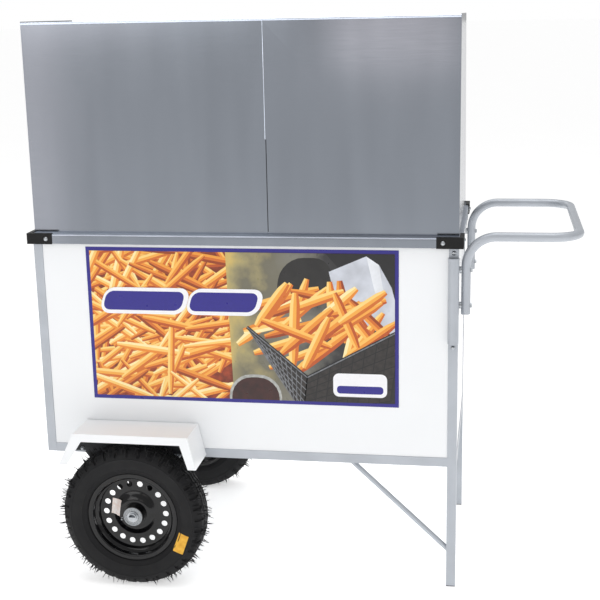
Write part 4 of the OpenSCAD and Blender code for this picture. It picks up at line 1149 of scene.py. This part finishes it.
class CART_OT_rims(bpy.types.Operator):
    """Presses the rims: rolled flanges, a dropped well and a domed disc with round holes"""

    bl_idname = "cart.rims"
    bl_label = "Rims"

    steps = 144
    hole_count = 18
    pitch_r = 75
    hole_r = 7.25
    drill_length = 13.2

    def barrel(self):
        """The rolled band that the tyre seats on."""
        outer = [(111.5, 30.6), (111.0, 29.5), (109, 29.2), (103.5, 29.2), (102.1, 28.4),
                 (101.5, 26.9), (101.5, 17), (100.6, 15.4), (94, 11.6), (93, 10)]
        inner = [(90.8, 10.6), (91.4, 12.6), (98.6, 17), (99.3, 18.4), (99.3, 27.6), (100.2, 30),
                 (102.3, 31.3), (109.5, 31.5), (111, 31.4)]
        piece = spun("barrel", outer[::-1] + inner[::-1], self.steps)
        other = twin(piece, "barrel_other", Matrix.Diagonal((1, -1, 1, 1)))
        well = spun("well", both_halves([(93, 10.4), (90.8, 10.8)]), self.steps)
        return joined([piece, other, well], "barrel")

    def disc(self):
        """The domed disc with its ring of holes."""
        rise = DISC_FACE + [(89.5, 2.0), (91.2, 4.5), (91.2, 7.2)]
        under = [(25.4, 10.9), (34.4, 10.9), (37.6, 10.0), (41, 8.3), (45, 5.5), (49, 2.6),
                 (53.4, 0.3), (57.8, -0.9), (62, -1.1), (87, -1.1), (90.6, -0.2), (92.8, 3.4),
                 (92.8, 7.2)]
        piece = spun("disc", rise + under[::-1], self.steps)
        drills = []
        for index in range(self.hole_count):
            deselect()
            angle = 2 * math.pi * index / self.hole_count
            bpy.ops.mesh.primitive_cylinder_add(vertices=32, radius=self.hole_r * MM,
                                                depth=self.drill_length * MM)
            drill = new_piece("drill")
            drill.data.transform(Matrix.Translation((math.cos(angle) * self.pitch_r * MM, 0,
                                                     math.sin(angle) * self.pitch_r * MM))
                                 @ Matrix.Rotation(math.pi / 2, 4, "X"))
            drills.append(drill)
        tool = joined(drills, "drills")
        cut = piece.modifiers.new("Holes", "BOOLEAN")
        cut.object = tool
        cut.operation = "DIFFERENCE"
        cut.solver = "EXACT"
        apply_all(piece)
        remove(tool)
        bevel(piece, 0.45 * MM, segments=2, angle=50)
        return piece

    def execute(self, context):
        """Makes both rims."""
        whole = joined([self.disc(), self.barrel()], "rim")
        smooth(whole, 38)
        paint(whole, gloss_black_paint())
        for side in (-1, 1):
            placed_wheel_piece(whole, side, "rim_pressed", "rim_paint", "rim")
        remove(whole)
        return {"FINISHED"}


class CART_OT_labels(bpy.types.Operator):
    """Sticks the blank labels on the front wheel and screws in the grease nipples"""

    bl_idname = "cart.labels"
    bl_label = "Wheel labels"

    def label(self, name, size, centre, degrees, outline, gap, material):
        """A thin label that follows an outline with a small gap, on the front wheel."""
        lean = math.radians(degrees)
        deselect()
        bpy.ops.mesh.primitive_grid_add(x_subdivisions=8, y_subdivisions=14, size=1)
        piece = new_piece(name)
        for point in piece.data.vertices:
            across, up = point.co.x * size[0], point.co.y * size[1]
            x = centre[0] + across * math.cos(lean) + up * math.sin(lean)
            z = centre[1] - across * math.sin(lean) + up * math.cos(lean)
            point.co = Vector((-x, height_on(outline, math.hypot(x, z)) + gap, z)) * MM
        piece.data.transform(at_wheel(-1) @ Matrix.Diagonal((-1, 1, 1, 1)))
        thick = piece.modifiers.new("Thickness", "SOLIDIFY")
        thick.thickness = 0.15 * MM
        thick.offset = 0
        apply_all(piece)
        outward(piece)
        smooth(piece)
        paint(piece, material)
        fit(piece, "wheel_front", "sign_print")

    def execute(self, context):
        """Makes the two labels and the nipples."""
        self.label("paper_label", (24, 40), (-48, 14), 8, DISC_FACE, 0.35, label_paper())
        self.label("yellow_label", (26, 50), (121, -58), 20, SIDEWALL, 0.25, yellow_label())
        nipple = spun("nipple", [(0.05, 0), (3.2, 0), (3.2, 2), (2.2, 2.4), (2.0, 5), (2.6, 6),
                                 (2.4, 7.4), (1.4, 8.6), (0.05, 8.8)], 20)
        nipple.data.transform(Matrix.Translation((-31 * MM, 13 * MM, -12 * MM)))
        smooth(nipple, 40)
        paint(nipple, zinc_plate())
        for side in (-1, 1):
            placed_wheel_piece(nipple, side, "grease_nipple", "zinc_steel")
        remove(nipple)
        return {"FINISHED"}


# ---- fry basket ----

class CART_OT_basket(bpy.types.Operator):
    """Weaves the fry basket from wire on the shape that its node holds"""

    bl_idname = "cart.basket"
    bl_label = "Fry basket"

    def execute(self, context):
        """Makes the wire basket."""
        low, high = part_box("fry_basket")
        pitch = settings().wire_pitch
        wire = 1.3 * MM
        inset = wire / 2
        wide, deep = high.x - low.x - 2 * inset, high.y - low.y - 2 * inset
        rows = max(2, round((high.z - low.z - wire) / pitch))
        deselect()
        bpy.ops.mesh.primitive_grid_add(x_subdivisions=round(wide / pitch),
                                        y_subdivisions=round(deep / pitch), size=1)
        piece = new_piece("fry_basket_mesh")
        corner = 3 * pitch
        for point in piece.data.vertices:
            x, y = point.co.x * wide, point.co.y * deep
            over_x = max(0, abs(x) - (wide / 2 - corner))
            over_y = max(0, abs(y) - (deep / 2 - corner))
            reach = max(over_x, over_y)
            if over_x and over_y:
                shrink = reach / math.hypot(over_x, over_y)
                x = math.copysign(wide / 2 - corner + over_x * shrink, x)
                y = math.copysign(deep / 2 - corner + over_y * shrink, y)
            point.co = ((low.x + high.x) / 2 + x, (low.y + high.y) / 2 + y, low.z + inset)
        step = {"value": (0, 0, (high.z - low.z - wire) / rows)}
        with edit_mode(piece):
            bpy.ops.mesh.region_to_loop()
            for _ in range(rows):
                bpy.ops.mesh.extrude_region_move(TRANSFORM_OT_translate=step)
        wires = piece.modifiers.new("Wires", "WIREFRAME")
        wires.thickness = wire
        wires.use_even_offset = False
        apply_all(piece)
        smooth(piece, 50)
        paint(piece, zinc_plate())
        fit(piece, "basket", SLOT_OF["fry_basket"], "fry_basket")
        return {"FINISHED"}


# ---- panel and registration ----

OPERATORS = (CART_OT_camera, CART_OT_stage, CART_OT_tubes, CART_OT_panels, CART_OT_worktop,
             CART_OT_windbreak, CART_OT_fittings, CART_OT_sign, CART_OT_tyres, CART_OT_rims,
             CART_OT_labels, CART_OT_basket)


class CART_PT_panel(bpy.types.Panel):
    """Lists the cart's pieces and settings"""

    bl_idname = "CART_PT_panel"
    bl_label = "Push Vending Cart"
    bl_space_type = "VIEW_3D"
    bl_region_type = "UI"
    bl_category = "Cart"

    def draw(self, context):
        """Draws one button for each operator and one field for each setting."""
        for operator in OPERATORS:
            self.layout.operator(operator.bl_idname)
        for name in CartFinish.__annotations__:
            self.layout.prop(context.scene.cart_finish, name)


CLASSES = (CartFinish,) + OPERATORS + (CART_PT_panel,)


def register():
    """Registers the classes and the settings."""
    for each in CLASSES:
        bpy.utils.register_class(each)
    bpy.types.Scene.cart_finish = PointerProperty(type=CartFinish)


def unregister():
    """Removes the settings and the classes."""
    del bpy.types.Scene.cart_finish
    for each in reversed(CLASSES):
        bpy.utils.unregister_class(each)


def main():
    """Makes the whole cart."""
    register()
    for operator in OPERATORS:
        group, name = operator.bl_idname.split(".")
        getattr(getattr(bpy.ops, group), name)()


if __name__ == "__main__":
    main()
